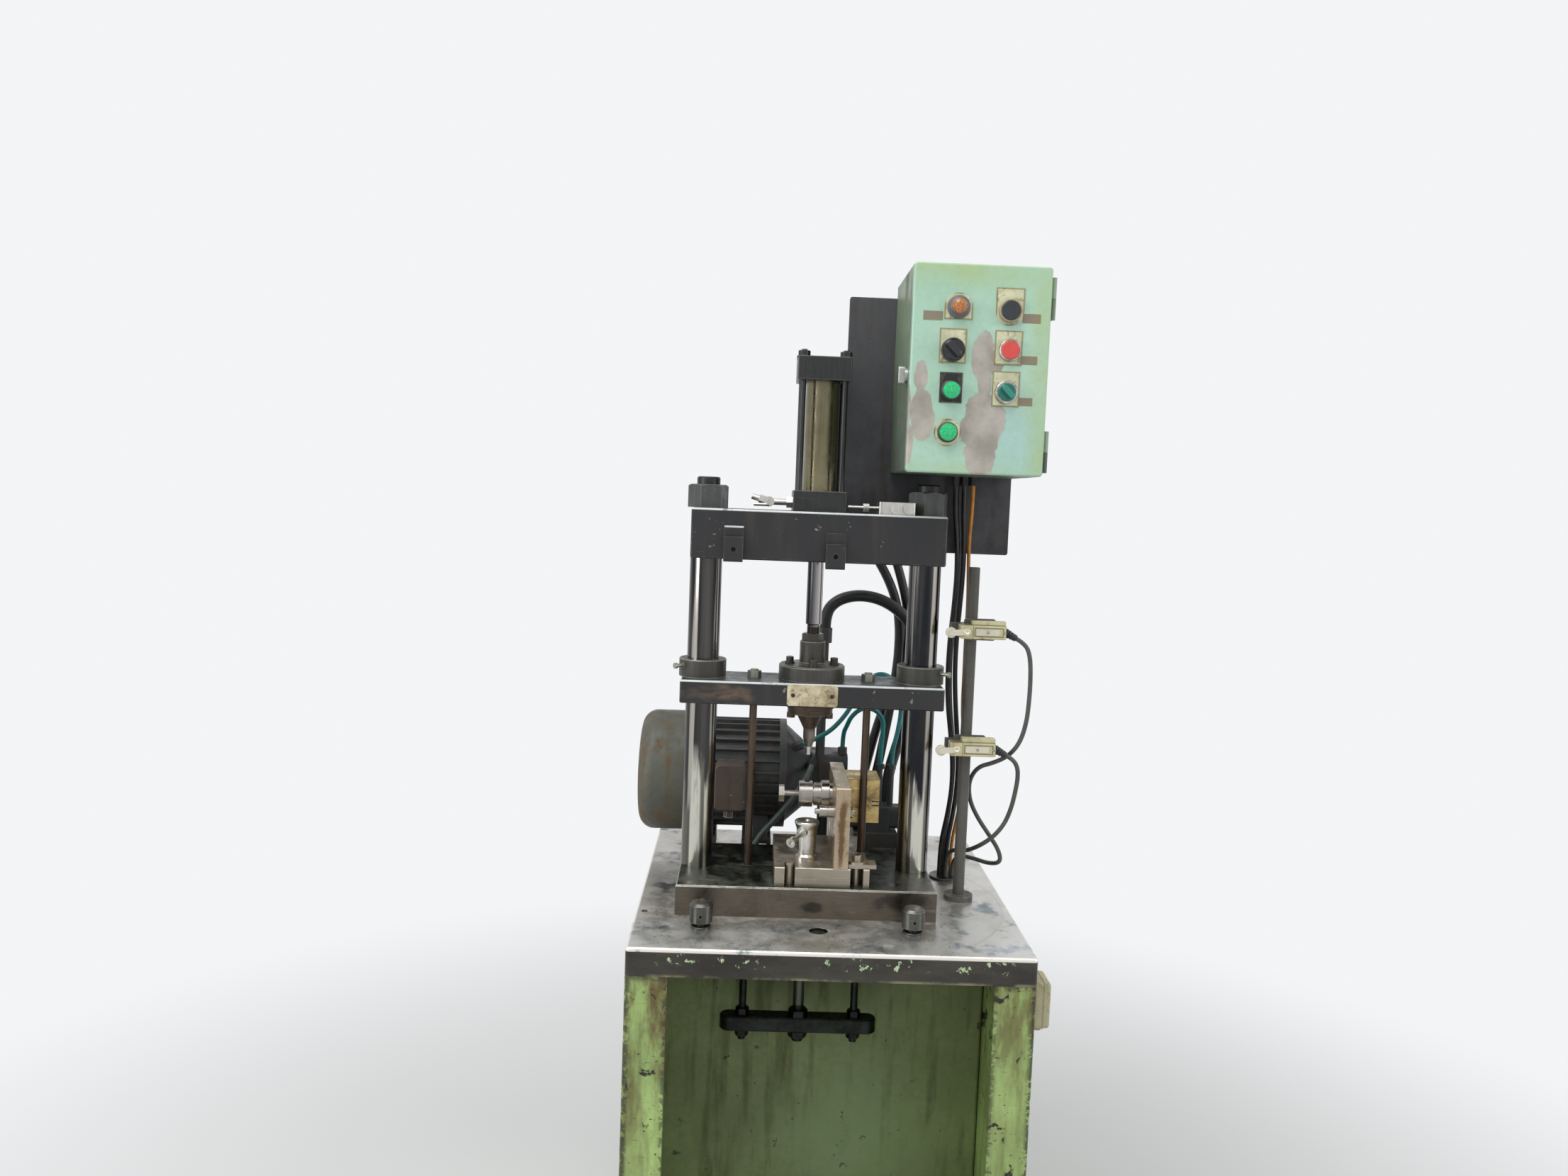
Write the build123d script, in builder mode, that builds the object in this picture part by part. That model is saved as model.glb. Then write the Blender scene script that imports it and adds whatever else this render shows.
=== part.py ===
from build123d import *
import math
import os

# Two-column hydraulic press on an open cabinet, in millimetres.
# The origin is on the floor under the middle of the table. X points to the operator's right,
# Y away from the operator and Z up. The ram is drawn 55 above the lower end of its travel.

os.makedirs("parts", exist_ok=True)

# Gaps between pieces
fit_gap = 0.1
running_gap = 0.05
moving_gap = 0.3

# Small corners and bevels that many pieces share
small_corner = 3
small_bevel = 1

# Table and cabinet
table_width = 580
table_depth = 600
table_height = 800
table_sheet = 5
table_edge = 4
table_corner = 6
skirt_height = 41
cabinet_sheet = 4
leg_width = 60
foot_size = 90
foot_thickness = 10
anchor_hole = 14
anchor_inset = 50
spare_hole = 28
spare_hole_x = -16
spare_hole_from_front = 84
cable_hole = 46
cable_hole_x = 212
cable_hole_from_front = 352

# Oil tank
tank_from_front = 330
tank_rear_gap = 12
tank_bottom = 150
tank_lid_gap = 4
tank_sheet = 3
tank_side_gap = 1
ledge_width = 35

# Press frame; the ends are measured outward from the column axes
press_x = -33
press_from_front = 245
column_spacing = 344
column_diameter = 50
spigot_diameter = 36
base_end = 25.5
base_depth = 224
base_thickness = 46
daylight = 490
beam_end = 22
beam_depth = 132
beam_height = 76
beam_bore = 34
frame_edge = 2
column_nut_flats = 55
column_nut_height = 36
column_end = 12

# Hooks on the beam
hook_width = 29
hook_sheet = 4
hook_gap = 9
hook_lip = 38
hook_left_drop = 3
hook_right_drop = 9
hook_back = 50
hook_hole = 8
hook_left_from_axis = -129
hook_right_from_axis = 25

# Ram and its travel
ram_down = 55
ram_up = 53
crosshead_end = 32
crosshead_depth = 108
crosshead_thickness = 36
crosshead_clear = 266
bush_flange = 74
bush_flange_height = 28
bush_sleeve = 62
rod_diameter = 25
rod_thread = 20
coupling_flange_diameter = 104
coupling_flange_height = 24
coupling_hub_diameter = 40
coupling_hub_height = 37
coupling_screw_circle = 70
lock_nut_flats = 30
lock_nut_height = 12
lock_thread_height = 13
trip_reach = 53
trip_angle = 37
trip_height = 18
trip_diameter = 6
trip_head_diameter = 9
trip_head_height = 4
coupling_screw = 8
coupling_screw_depth = 20
washer_diameter = 15
washer_height = 3

# Tool
holder_flange_diameter = 77
holder_flange_height = 18
holder_cone_diameter = 44
holder_neck_diameter = 19
holder_tip_diameter = 11
holder_cone_height = 25
holder_neck_height = 15
holder_taper_height = 14
holder_screw_circle = 60
holder_rim_height = 8
holder_step = 3
holder_screw_diameter = 13
holder_screw_height = 8
punch_diameter = 6
punch_reach = 14
punch_seat = 20

# Ejector
ejector_spacing = 180
ejector_rod_diameter = 12
ejector_pin_diameter = 18
ejector_nut_flats = 19
ejector_pin_nut_flats = 27
ejector_nut_height = 11
ejector_bar_width = 252
ejector_bar_depth = 30
ejector_bar_height = 24
ejector_bar_below_table = 200
ejector_pin_above_table = 60
ejector_hole_gap = 2
ejector_thread_end = 6

# Cylinder
cylinder_bore = 40
cylinder_tube_diameter = 52
cylinder_cap_width = 82
cylinder_head_height = 32
cylinder_end_height = 36
cylinder_cap_spigot = 8
cylinder_cushion = 7
piston_height = 30
tie_rod_diameter = 9
tie_rod_spacing = 64
tie_rod_anchor = 20
tie_nut_flats = 16
tie_nut_height = 8

# Pipe fitting, throttle valve and hose ends
port_height = 13
port_nut_flats = 17
port_nut_length = 9
port_pipe_diameter = 10
banjo_out = 36
banjo_diameter = 16
banjo_width = 12
banjo_bolt_diameter = 10
banjo_bolt_length = 20
banjo_nut_flats = 11
banjo_nut_length = 16
banjo_pipe_diameter = 9
banjo_pipe_length = 28
banjo_way = (-0.95, 0.08, 0.26)
bleed_screw_diameter = 5
bleed_screw_length = 24
throttle_left = 57
throttle_length = 56
throttle_height = 19
throttle_depth = 34
throttle_from_front = 194
throttle_plug_diameter = 17
throttle_plug_height = 5
throttle_plug_places = [25, 45]
knob_stem = 5
knob_bore_depth = 20
knob_reach = 14
knob_stem_length = 64
knob_diameter = 13
knob_length = 9
knurl_size = 0.8
hose_nut_flats = 20
hose_fitting_length = 14
hose_port_heights = [628, 830]
valve_port_places = [70, 94, 118]
valve_port_from_front = 456
drain_nut_flats = 17
drain_x = -116
drain_from_front = 368

# Fixture
fixture_x = -10
fixture_width = 144
fixture_from_front = 145
fixture_depth = 180
fixture_thickness = 28
fixture_slot_left = 16
fixture_slot_right = 20
fixture_slot_depth = 30
fixture_slot_left_x = -49
fixture_slot_right_x = 53
wall_x = 28
wall_thickness = 22
wall_height = 124
locator_height = 117.5
locator_diameter = 41
locator_bush_length = 22
locator_flange_diameter = 44
locator_shank_diameter = 30
cross_hole = 9
pin_from_front = 195
pin_height = 103
pin_diameter = 18
pin_shank_diameter = 11
post_from_front = 199
post_height = 59
post_diameter = 30
post_top_diameter = 38
block_width = 56
block_depth = 66
block_height = 71
block_bottom = 70
block_from_front = 254
saw_cut_heights = [29, 36]
saw_cut_depth = 13
saw_cut_width = 2
locator_step_radius = 18
locator_flange_reach = 18
locator_neck_radius = 15
locator_bush_reach = 31
locator_screw_diameter = 8.6
locator_screw_reach = 76
locator_head_flats = 24
locator_head_height = 8.5
pin_groove_depth = 0.8
pin_reach = 22
pin_tip_diameter = 9
pin_tip_length = 7
pin_thread_end = 10
pin_nut_flats = 17
pin_nut_height = 8
post_foot_diameter = 36
post_foot_height = 5
post_dish_diameter = 12
post_dish_depth = 5
clamp_boss_diameter = 16
clamp_boss_length = 15
clamp_screw_diameter = 8
clamp_screw_length = 38
clamp_head_diameter = 15
clamp_head_height = 8
clamp_socket_flats = 6
strap_from_edge = 14
strap_length = 42
strap_width = 26
strap_thickness = 6
strap_shift = 8.5
strap_back = 4
strap_washer_diameter = 26
strap_washer_height = 4
strap_screw = 9
stud_diameter = 12
stud_end = 4

# Power unit
motor_from_front = 465
motor_axis_height = 145
motor_radius = 86
motor_fin_reach = 9
motor_fins = 30
motor_fin_thickness = 3
shield_thickness = 12
cowl_lug_width = 14
cowl_lug_inset = 2
cowl_edge = 26
cowl_slot_rings = [30, 45, 60]
cowl_slot_length = 11
cowl_slot_width = 4
motor_left = -250
motor_length = 176
cowl_radius = 104
cowl_left = -315
cowl_length = 82
cowl_wall = 2.5
bell_length = 46
pump_length = 62
pump_width = 84
rail_height = 45
rail_width = 50
rail_sheet = 5
rail_shares = (0.25, 0.8)
terminal_x = -156
terminal_width = 54
terminal_height = 78
terminal_from_front = 334
terminal_corner = 9
terminal_gland_flats = 18
terminal_gland_length = 14
terminal_gland_inset = 17
pump_corner = 16
riser_x = -3
riser_from_front = 430
riser_top = 388
riser_diameter = 16
riser_nut_flats = 22
riser_nut_height = 26
pump_fitting_flats = 14
pump_fitting_length = 26
pump_tube_x = 37
pump_tube_from_front = 440
pump_nut_height = 12
suction_pipe_diameter = 34
return_pipe_diameter = 27
valve_x = 96
valve_from_front = 430
valve_width = 76
valve_depth = 84
valve_height = 62
solenoid_width = 46
solenoid_depth = 44
solenoid_height = 42
solenoid_inset = 12
coil_diameter = 38
coil_corner = 8
coil_reach = 56
coil_height = 23
stub_places = [102, 122]
stub_from_front = 418
stub_top = 168
stub_diameter = 10
stub_foot = 30
stub_nut_flats = 14
stub_nut_height = 8

# Switch mast, placed from the right column, and its switches, placed from the mast
mast_from_column = 78
mast_diameter = 18
mast_top = 534
switch_upper_height = 435
switch_lower_height = 250
switch_upper_reach = 23
switch_lower_reach = 30
switch_body_length = 72
switch_body_height = 22
switch_body_depth = 22
switch_cap_height = 6
roller_diameter = 16.5
roller_width = 7
roller_pin = 5
roller_upper_drop = 2
roller_lower_drop = 3
lever_sheet = 3
lever_arm = 24
lever_inset = 10
lever_width = 9
lever_boss_diameter = 12
lever_pivot_depth = 14
roller_rivet_diameter = 8
mast_foot_diameter = 46
mast_foot_height = 8
clamp_width = 30
clamp_depth = 23
clamp_height = 20
clamp_jaw_width = 12
switch_plate_width = 50
switch_plate_height = 34
switch_plate_sheet = 3
switch_plate_shift = 34
switch_gland_diameter = 10
gland_length = 24
gland_slope = 27
gland_rib_spacing = 4.5
gland_rib_width = 2.5

# Control box
box_left = 84
box_width = 200
box_height = 300
box_bottom = 676
box_front = 110
box_sheet = 2
door_depth = 16
box_lip = 12
gear_plate_sheet = 2
gear_plate_gap = 8
gear_rail_height = 35
gear_rail_depth = 7
gear_levels = [70, 150, 230]
gear_blocks = [
    (28, 70, 45, 70, 70), (76, 70, 45, 70, 70), (124, 70, 45, 70, 55),
    (30, 150, 36, 60, 60), (72, 150, 54, 56, 48), (132, 150, 36, 66, 66),
    (28, 230, 140, 44, 40),
]
gear_post_diameter = 10
hinge_heights = [36, 256]
hinge_out = 4
knuckle_diameter = 7
knuckle_height = 30
hinge_pin_diameter = 3
box_gland_places = [(188, -26), (202, -26), (216, -26), (195, -10)]
box_gland_flats = 12
box_gland_length = 14
control_places = {
    "lamp_amber": (150, 914), "button_black": (224, 911), "selector_black": (144, 852.5),
    "button_red": (226, 855), "lamp_green": (144, 795), "selector_green": (224, 795),
    "lamp_low": (142, 735),
}
bezel_radii = {
    "lamp_amber": 16.5, "button_black": 16.5, "selector_black": 17, "button_red": 15.6,
    "lamp_green": 15, "selector_green": 16.5, "lamp_low": 14.5,
}
cap_radii = {"button_black": 14, "selector_black": 14.5, "button_red": 13.2, "selector_green": 12.8}
lens_radii = {"lamp_amber": 10.5, "lamp_green": 12, "lamp_low": 12.3}
control_hole = 22
stem_radius = 10.5
bezel_height = 9
lamp_depth = 28
lamp_reach = 15
button_travel = 5
selector_turn = -45
grip_height = 10
contact_width = 30
contact_height = 36
contact_spacer = 10
contact_depth = 22
latch_height = 817
latch_inset = 14
latch_diameter = 22
latch_disc_sheet = 4
latch_grip_length = 26
latch_grip_width = 8
latch_grip_height = 9
carrier_left = 8
carrier_width = 274
carrier_bottom = 552
carrier_height = 404
carrier_sheet = 6
carrier_bolt_inset = 30
carrier_bolt_hole = 10

# Palm buttons
palm_spacing = 312
palm_from_front = 86
palm_diameter = 34
palm_height = 29
palm_travel = 5
palm_guide_flange = 30
palm_guide_height = 3.5
palm_guide_sleeve = 20
palm_guide_depth = 18
palm_guide_nut_height = 6
palm_stem = 12
palm_stem_depth = 24
palm_hole = 5
palm_hole_height = 12
palm_hole_depth = 8
plug_height = 4
plug_rim = 3

# Junction box
junction_out = 25
junction_depth = 52
junction_height = 67
junction_from_front = 18
junction_below_table = 43
junction_corner = 6
junction_seam = 1.5
junction_gland_flats = 15
junction_gland_length = 10

# Places worked out from the sizes above
base_width = column_spacing + 2 * base_end
beam_width = column_spacing + 2 * beam_end
crosshead_width = column_spacing + 2 * crosshead_end
table_front = -table_depth / 2
table_top_z = table_height
table_under_z = table_height - table_sheet
skirt_z = table_height - skirt_height
press_y = table_front + press_from_front
base_top_z = table_top_z + base_thickness
beam_z = base_top_z + daylight
beam_top_z = beam_z + beam_height
crosshead_z = base_top_z + crosshead_clear
crosshead_top_z = crosshead_z + crosshead_thickness
fixture_top_z = base_top_z + fixture_thickness
column_places = [(press_x + side * column_spacing / 2, press_y) for side in (-1, 1)]
rod_places = [(press_x + side * ejector_spacing / 2, press_y) for side in (-1, 1)]
mast_x = column_places[1][0] + mast_from_column
switch_upper_left = mast_x - switch_upper_reach
switch_lower_left = mast_x - switch_lower_reach


def write(piece, name):
    """Labels a finished piece and writes its file."""
    piece.part.label = name
    export_step(piece.part, f"parts/{name}.step")


def hexagon_nut(flats, height, bore=0):
    """A hexagon nut or head standing on the origin, with its upper corners turned down."""
    corner = flats / math.sqrt(3)
    bevel = corner - flats / 2
    with BuildPart() as nut:
        with BuildSketch():
            RegularPolygon(flats / 2, 6, major_radius=False)
        extrude(amount=height)
        with BuildSketch(Plane.XZ):
            Polygon((0, 0), (corner, 0), (corner, height - bevel * 0.6), (flats / 2, height), (0, height),
                    align=None)
        revolve(axis=Axis.Z, mode=Mode.INTERSECT)
        if bore:
            Hole(bore / 2)
    return nut.part


def socket_screw(thread, shank):
    """A socket head screw whose head stands on the origin and whose shank hangs below it."""
    with BuildPart() as screw:
        Cylinder(thread * 0.75, thread, align=(Align.CENTER, Align.CENTER, Align.MIN))
        fillet(screw.edges().group_by(Axis.Z)[-1], thread * 0.08)
        with BuildSketch(Plane.XY.offset(thread)):
            RegularPolygon(thread * 0.4, 6, major_radius=False)
        extrude(amount=-thread * 0.5, mode=Mode.SUBTRACT)
        Cylinder(thread / 2, shank, align=(Align.CENTER, Align.CENTER, Align.MAX))
    return screw.part


def revolved(outline):
    """A solid of revolution about Z from its outline of radius and height pairs."""
    with BuildPart() as solid:
        with BuildSketch(Plane.XZ):
            Polygon(*outline, align=None)
        revolve(axis=Axis.Z)
    return solid.part


def tube(points, diameter, name):
    """A round cord of straight runs joined by arcs as large as the runs allow."""
    radii = []
    for before, corner, after in zip(points, points[1:], points[2:]):
        run_in = Vector(*corner) - Vector(*before)
        run_out = Vector(*after) - Vector(*corner)
        turn = math.radians(run_in.get_angle(run_out))
        radii.append(0.45 * min(run_in.length, run_out.length) / math.tan(turn / 2))
    with BuildPart() as cord:
        with BuildLine() as route:
            FilletPolyline(*points, radius=radii)
        path = route.wires()[0]
        with BuildSketch(Plane(path @ 0, z_dir=path % 0)):
            Circle(diameter / 2)
        sweep(path=path)
    section = math.pi * diameter ** 2 / 4
    print(name, "length", round(path.length), "smallest radius", round(min(radii), 1),
          "radii", [round(radius) for radius in radii],
          "volume ratio", round(cord.part.volume / (section * path.length), 4))
    return cord.part


def from_front(distance):
    """The place along Y of something measured from the table's front edge."""
    return table_front + distance


def above_table(height):
    """The height over the floor of something measured from the table top."""
    return table_top_z + height


def local(x, y, z):
    """A point from its X, its distance from the table's front edge and its height over the table."""
    return (x, from_front(y), above_table(z))


# Cabinet: folded sheet with returned front legs, foot plates and two ledges for the tank
tank_depth = table_depth - cabinet_sheet - tank_rear_gap - tank_from_front
tank_y = from_front(tank_from_front) + tank_depth / 2
anchor_x = table_width / 2 - anchor_inset
anchor_y = table_depth / 2 - anchor_inset
with BuildPart() as cabinet:
    with BuildSketch(Plane.XY.offset(foot_thickness)):
        RectangleRounded(table_width, table_depth, table_corner)
        RectangleRounded(table_width - 2 * cabinet_sheet, table_depth - 2 * cabinet_sheet,
                         table_corner - cabinet_sheet, mode=Mode.SUBTRACT)
        with Locations((0, table_front)):
            Rectangle(table_width - 2 * leg_width, 4 * cabinet_sheet, mode=Mode.SUBTRACT)
    extrude(amount=skirt_z - foot_thickness)
    with BuildSketch(Plane.XY.offset(tank_bottom - cabinet_sheet)):
        with Locations((0, tank_y)):
            with GridLocations(table_width - 2 * cabinet_sheet - ledge_width, 0, 2, 1):
                Rectangle(ledge_width, tank_depth)
    extrude(amount=cabinet_sheet)
    with BuildSketch():
        with GridLocations(table_width - foot_size, table_depth - foot_size, 2, 2):
            RectangleRounded(foot_size, foot_size, table_corner)
        with GridLocations(2 * anchor_x, 2 * anchor_y, 2, 2):
            Circle(anchor_hole / 2, mode=Mode.SUBTRACT)
    extrude(amount=foot_thickness)
write(cabinet, "cabinet")

# Pump and pipe places that the tank and the table share
motor_y = from_front(motor_from_front)
motor_z = above_table(motor_axis_height)
shield_x = motor_left + motor_length
bell_x = shield_x + shield_thickness
pump_x = bell_x + bell_length
suction_x = pump_x + pump_length / 2
valve_y = from_front(valve_from_front)
return_place = (valve_x + valve_width / 4, valve_y)
suction_place = (suction_x, motor_y)
pipe_end_z = tank_bottom + 60

# Oil tank: folded and welded, hollow, with two pipe holes in its lid
tank_width = table_width - 2 * cabinet_sheet - 2 * tank_side_gap
tank_top_z = skirt_z - tank_lid_gap
with BuildPart() as oil_tank:
    with BuildSketch(Plane.XY.offset(tank_bottom)):
        with Locations((0, tank_y)):
            RectangleRounded(tank_width, tank_depth, table_corner)
    extrude(amount=tank_top_z - tank_bottom)
    with BuildSketch(Plane.XY.offset(tank_bottom + tank_sheet)):
        with Locations((0, tank_y)):
            Rectangle(tank_width - 2 * tank_sheet, tank_depth - 2 * tank_sheet)
    extrude(amount=tank_top_z - tank_bottom - 2 * tank_sheet, mode=Mode.SUBTRACT)
    with BuildSketch(Plane.XY.offset(tank_top_z)):
        with Locations(suction_place):
            Circle(suction_pipe_diameter / 2 + fit_gap)
        with Locations(return_place):
            Circle(return_pipe_diameter / 2 + fit_gap)
    extrude(amount=-2 * tank_sheet, mode=Mode.SUBTRACT)
write(oil_tank, "oil_tank")

# Table top: a folded pan with rounded edges
palm_places = [(press_x + side * palm_spacing / 2, from_front(palm_from_front)) for side in (-1, 1)]
with BuildPart() as table_top:
    with BuildSketch(Plane.XY.offset(skirt_z)):
        RectangleRounded(table_width, table_depth, table_corner)
    extrude(amount=skirt_height)
    fillet(table_top.edges().group_by(Axis.Z)[-1], table_edge)
    with BuildSketch(Plane.XY.offset(skirt_z)):
        RectangleRounded(table_width - 2 * table_sheet, table_depth - 2 * table_sheet,
                         table_corner - table_edge)
    extrude(amount=skirt_height - table_sheet, mode=Mode.SUBTRACT)
    with BuildSketch(Plane.XY.offset(table_top_z)):
        with Locations(*column_places):
            Circle(spigot_diameter / 2 + fit_gap)
        with Locations(*rod_places):
            Circle(ejector_rod_diameter / 2 + ejector_hole_gap)
        with Locations((press_x, press_y)):
            Circle(ejector_pin_diameter / 2 + ejector_hole_gap)
        with Locations(*palm_places):
            Circle(palm_guide_sleeve / 2 + fit_gap)
        with Locations((spare_hole_x, from_front(spare_hole_from_front))):
            Circle(spare_hole / 2)
        with Locations((cable_hole_x, from_front(cable_hole_from_front))):
            Circle(cable_hole / 2)
        with Locations(suction_place):
            Circle(suction_pipe_diameter / 2 + fit_gap)
        with Locations(return_place):
            Circle(return_pipe_diameter / 2 + fit_gap)
    extrude(amount=-2 * table_sheet, mode=Mode.SUBTRACT)
write(table_top, "table_top")

# Press base: a thick plate that the columns stand on
with BuildPart() as press_base:
    with BuildSketch(Plane.XY.offset(table_top_z)):
        with Locations((press_x, press_y)):
            Rectangle(base_width, base_depth)
    extrude(amount=base_thickness)
    chamfer(press_base.edges().group_by(Axis.Z)[-1], frame_edge)
    with BuildSketch(Plane.XY.offset(base_top_z)):
        with Locations(*column_places):
            Circle(spigot_diameter / 2 + fit_gap)
        with Locations(*rod_places):
            Circle(ejector_rod_diameter / 2 + ejector_hole_gap)
        with Locations((press_x, press_y)):
            Circle(ejector_pin_diameter / 2 + ejector_hole_gap)
    extrude(amount=-base_thickness, mode=Mode.SUBTRACT)
write(press_base, "press_base")

# Columns: chromed bars with a smaller threaded end through the base and through the beam
column_foot_z = table_under_z - column_nut_height - column_end
column_head_z = beam_top_z + column_nut_height + column_end
with BuildPart() as columns:
    with Locations(*column_places):
        with Locations((0, 0, column_foot_z)):
            Cylinder(spigot_diameter / 2, column_head_z - column_foot_z,
                     align=(Align.CENTER, Align.CENTER, Align.MIN))
        with Locations((0, 0, base_top_z)):
            Cylinder(column_diameter / 2, daylight, align=(Align.CENTER, Align.CENTER, Align.MIN))
    chamfer(columns.edges().group_by(Axis.Z)[-1] + columns.edges().group_by(Axis.Z)[0], frame_edge)
write(columns, "columns")

column_nut = hexagon_nut(column_nut_flats, column_nut_height, spigot_diameter + 2 * fit_gap)
with BuildPart() as column_nuts:
    with Locations(*[(x, y, beam_top_z) for x, y in column_places]):
        add(column_nut.rotate(Axis.Z, 12))
    with Locations(*[Location((x, y, table_under_z), (180, 0, 0)) for x, y in column_places]):
        add(column_nut)
write(column_nuts, "column_nuts")

# Beam: a heavy block with bores for the column ends, the piston rod and the tie rods
with BuildPart() as beam:
    with BuildSketch(Plane.XY.offset(beam_z)):
        with Locations((press_x, press_y)):
            Rectangle(beam_width, beam_depth)
    extrude(amount=beam_height)
    chamfer(beam.edges(), frame_edge)
    with BuildSketch(Plane.XY.offset(beam_top_z)):
        with Locations(*column_places):
            Circle(spigot_diameter / 2 + fit_gap)
        with Locations((press_x, press_y)):
            Circle(beam_bore / 2)
    extrude(amount=-beam_height, mode=Mode.SUBTRACT)
    with BuildSketch(Plane.XY.offset(beam_top_z)):
        with Locations((press_x, press_y)):
            with GridLocations(tie_rod_spacing, tie_rod_spacing, 2, 2):
                Circle(tie_rod_diameter / 2 + fit_gap)
    extrude(amount=-tie_rod_anchor, mode=Mode.SUBTRACT)
write(beam, "beam")

# Hooks: bent strips on the beam's front, open at the top, each with one hole through its lip
beam_front_y = press_y - beam_depth / 2
hook_outer = hook_sheet + hook_gap + hook_sheet


def beam_hook(drop):
    """One strip bent to a J, on the middle of the beam's front face."""
    bottom_z = beam_z - drop
    with BuildPart() as hook:
        with BuildSketch(Plane.YZ):
            with BuildLine():
                Polyline(
                    (beam_front_y, bottom_z + hook_sheet + hook_back),
                    (beam_front_y, bottom_z),
                    (beam_front_y - hook_outer, bottom_z),
                    (beam_front_y - hook_outer, bottom_z + hook_lip),
                    (beam_front_y - hook_outer + hook_sheet, bottom_z + hook_lip),
                    (beam_front_y - hook_outer + hook_sheet, bottom_z + hook_sheet),
                    (beam_front_y - hook_sheet, bottom_z + hook_sheet),
                    (beam_front_y - hook_sheet, bottom_z + hook_sheet + hook_back),
                    close=True,
                )
            make_face()
        extrude(amount=hook_width / 2, both=True)
        fillet(hook.edges().filter_by(Axis.X).group_by(Axis.Z)[0], hook_sheet)
        with BuildSketch(Plane.XZ.offset(-beam_front_y)):
            with Locations((0, bottom_z + hook_lip / 2)):
                Circle(hook_hole / 2)
        extrude(amount=hook_outer, mode=Mode.SUBTRACT)
    return hook.part


with BuildPart() as beam_hooks:
    with Locations((press_x + hook_left_from_axis, 0, 0)):
        add(beam_hook(hook_left_drop))
    with Locations((press_x + hook_right_from_axis, 0, 0)):
        add(beam_hook(hook_right_drop))
write(beam_hooks, "beam_hooks")

# Cylinder: square head, round tube, square end cap, four tie rods
head_top_z = beam_top_z + cylinder_head_height
rod_bore = rod_diameter / 2 + running_gap
with BuildPart() as cylinder_head:
    with BuildSketch(Plane.XY.offset(beam_top_z)):
        with Locations((press_x, press_y)):
            Rectangle(cylinder_cap_width, cylinder_cap_width)
    extrude(amount=cylinder_head_height)
    chamfer(cylinder_head.edges(), frame_edge / 2)
    with BuildSketch(Plane.XY.offset(head_top_z)):
        with Locations((press_x, press_y)):
            Circle(cylinder_bore / 2 - fit_gap)
    extrude(amount=cylinder_cap_spigot)
    with BuildSketch(Plane.XY.offset(head_top_z + cylinder_cap_spigot)):
        with Locations((press_x, press_y)):
            Circle(rod_bore)
    extrude(amount=-cylinder_head_height - cylinder_cap_spigot, mode=Mode.SUBTRACT)
    with BuildSketch(Plane.XY.offset(head_top_z)):
        with Locations((press_x, press_y)):
            with GridLocations(tie_rod_spacing, tie_rod_spacing, 2, 2):
                Circle(tie_rod_diameter / 2 + fit_gap)
    extrude(amount=-cylinder_head_height, mode=Mode.SUBTRACT)
write(cylinder_head, "cylinder_head")

ram_travel = ram_down + ram_up
tube_length = 2 * (cylinder_cap_spigot + cylinder_cushion) + ram_travel + piston_height
tube_top_z = head_top_z + tube_length
with BuildPart() as cylinder_tube:
    with BuildSketch(Plane.XY.offset(head_top_z)):
        with Locations((press_x, press_y)):
            Circle(cylinder_tube_diameter / 2)
            Circle(cylinder_bore / 2, mode=Mode.SUBTRACT)
    extrude(amount=tube_length)
write(cylinder_tube, "cylinder_tube")

end_top_z = tube_top_z + cylinder_end_height
with BuildPart() as cylinder_end_cap:
    with BuildSketch(Plane.XY.offset(tube_top_z)):
        with Locations((press_x, press_y)):
            Rectangle(cylinder_cap_width, cylinder_cap_width)
    extrude(amount=cylinder_end_height)
    chamfer(cylinder_end_cap.edges(), frame_edge / 2)
    with BuildSketch(Plane.XY.offset(tube_top_z)):
        with Locations((press_x, press_y)):
            Circle(cylinder_bore / 2 - fit_gap)
    extrude(amount=-cylinder_cap_spigot)
    with BuildSketch(Plane.XY.offset(tube_top_z)):
        with Locations((press_x, press_y)):
            with GridLocations(tie_rod_spacing, tie_rod_spacing, 2, 2):
                Circle(tie_rod_diameter / 2 + fit_gap)
    extrude(amount=cylinder_end_height, mode=Mode.SUBTRACT)
write(cylinder_end_cap, "cylinder_end_cap")

tie_bottom_z = beam_top_z - tie_rod_anchor
tie_nut = hexagon_nut(tie_nut_flats, tie_nut_height)
with BuildPart() as tie_rods:
    with Locations((press_x, press_y, tie_bottom_z)):
        with GridLocations(tie_rod_spacing, tie_rod_spacing, 2, 2):
            Cylinder(tie_rod_diameter / 2, end_top_z + tie_nut_height + frame_edge - tie_bottom_z,
                     align=(Align.CENTER, Align.CENTER, Align.MIN))
    with Locations((press_x, press_y, end_top_z)):
        with GridLocations(tie_rod_spacing, tie_rod_spacing, 2, 2):
            add(tie_nut)
write(tie_rods, "tie_rods")

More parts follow.
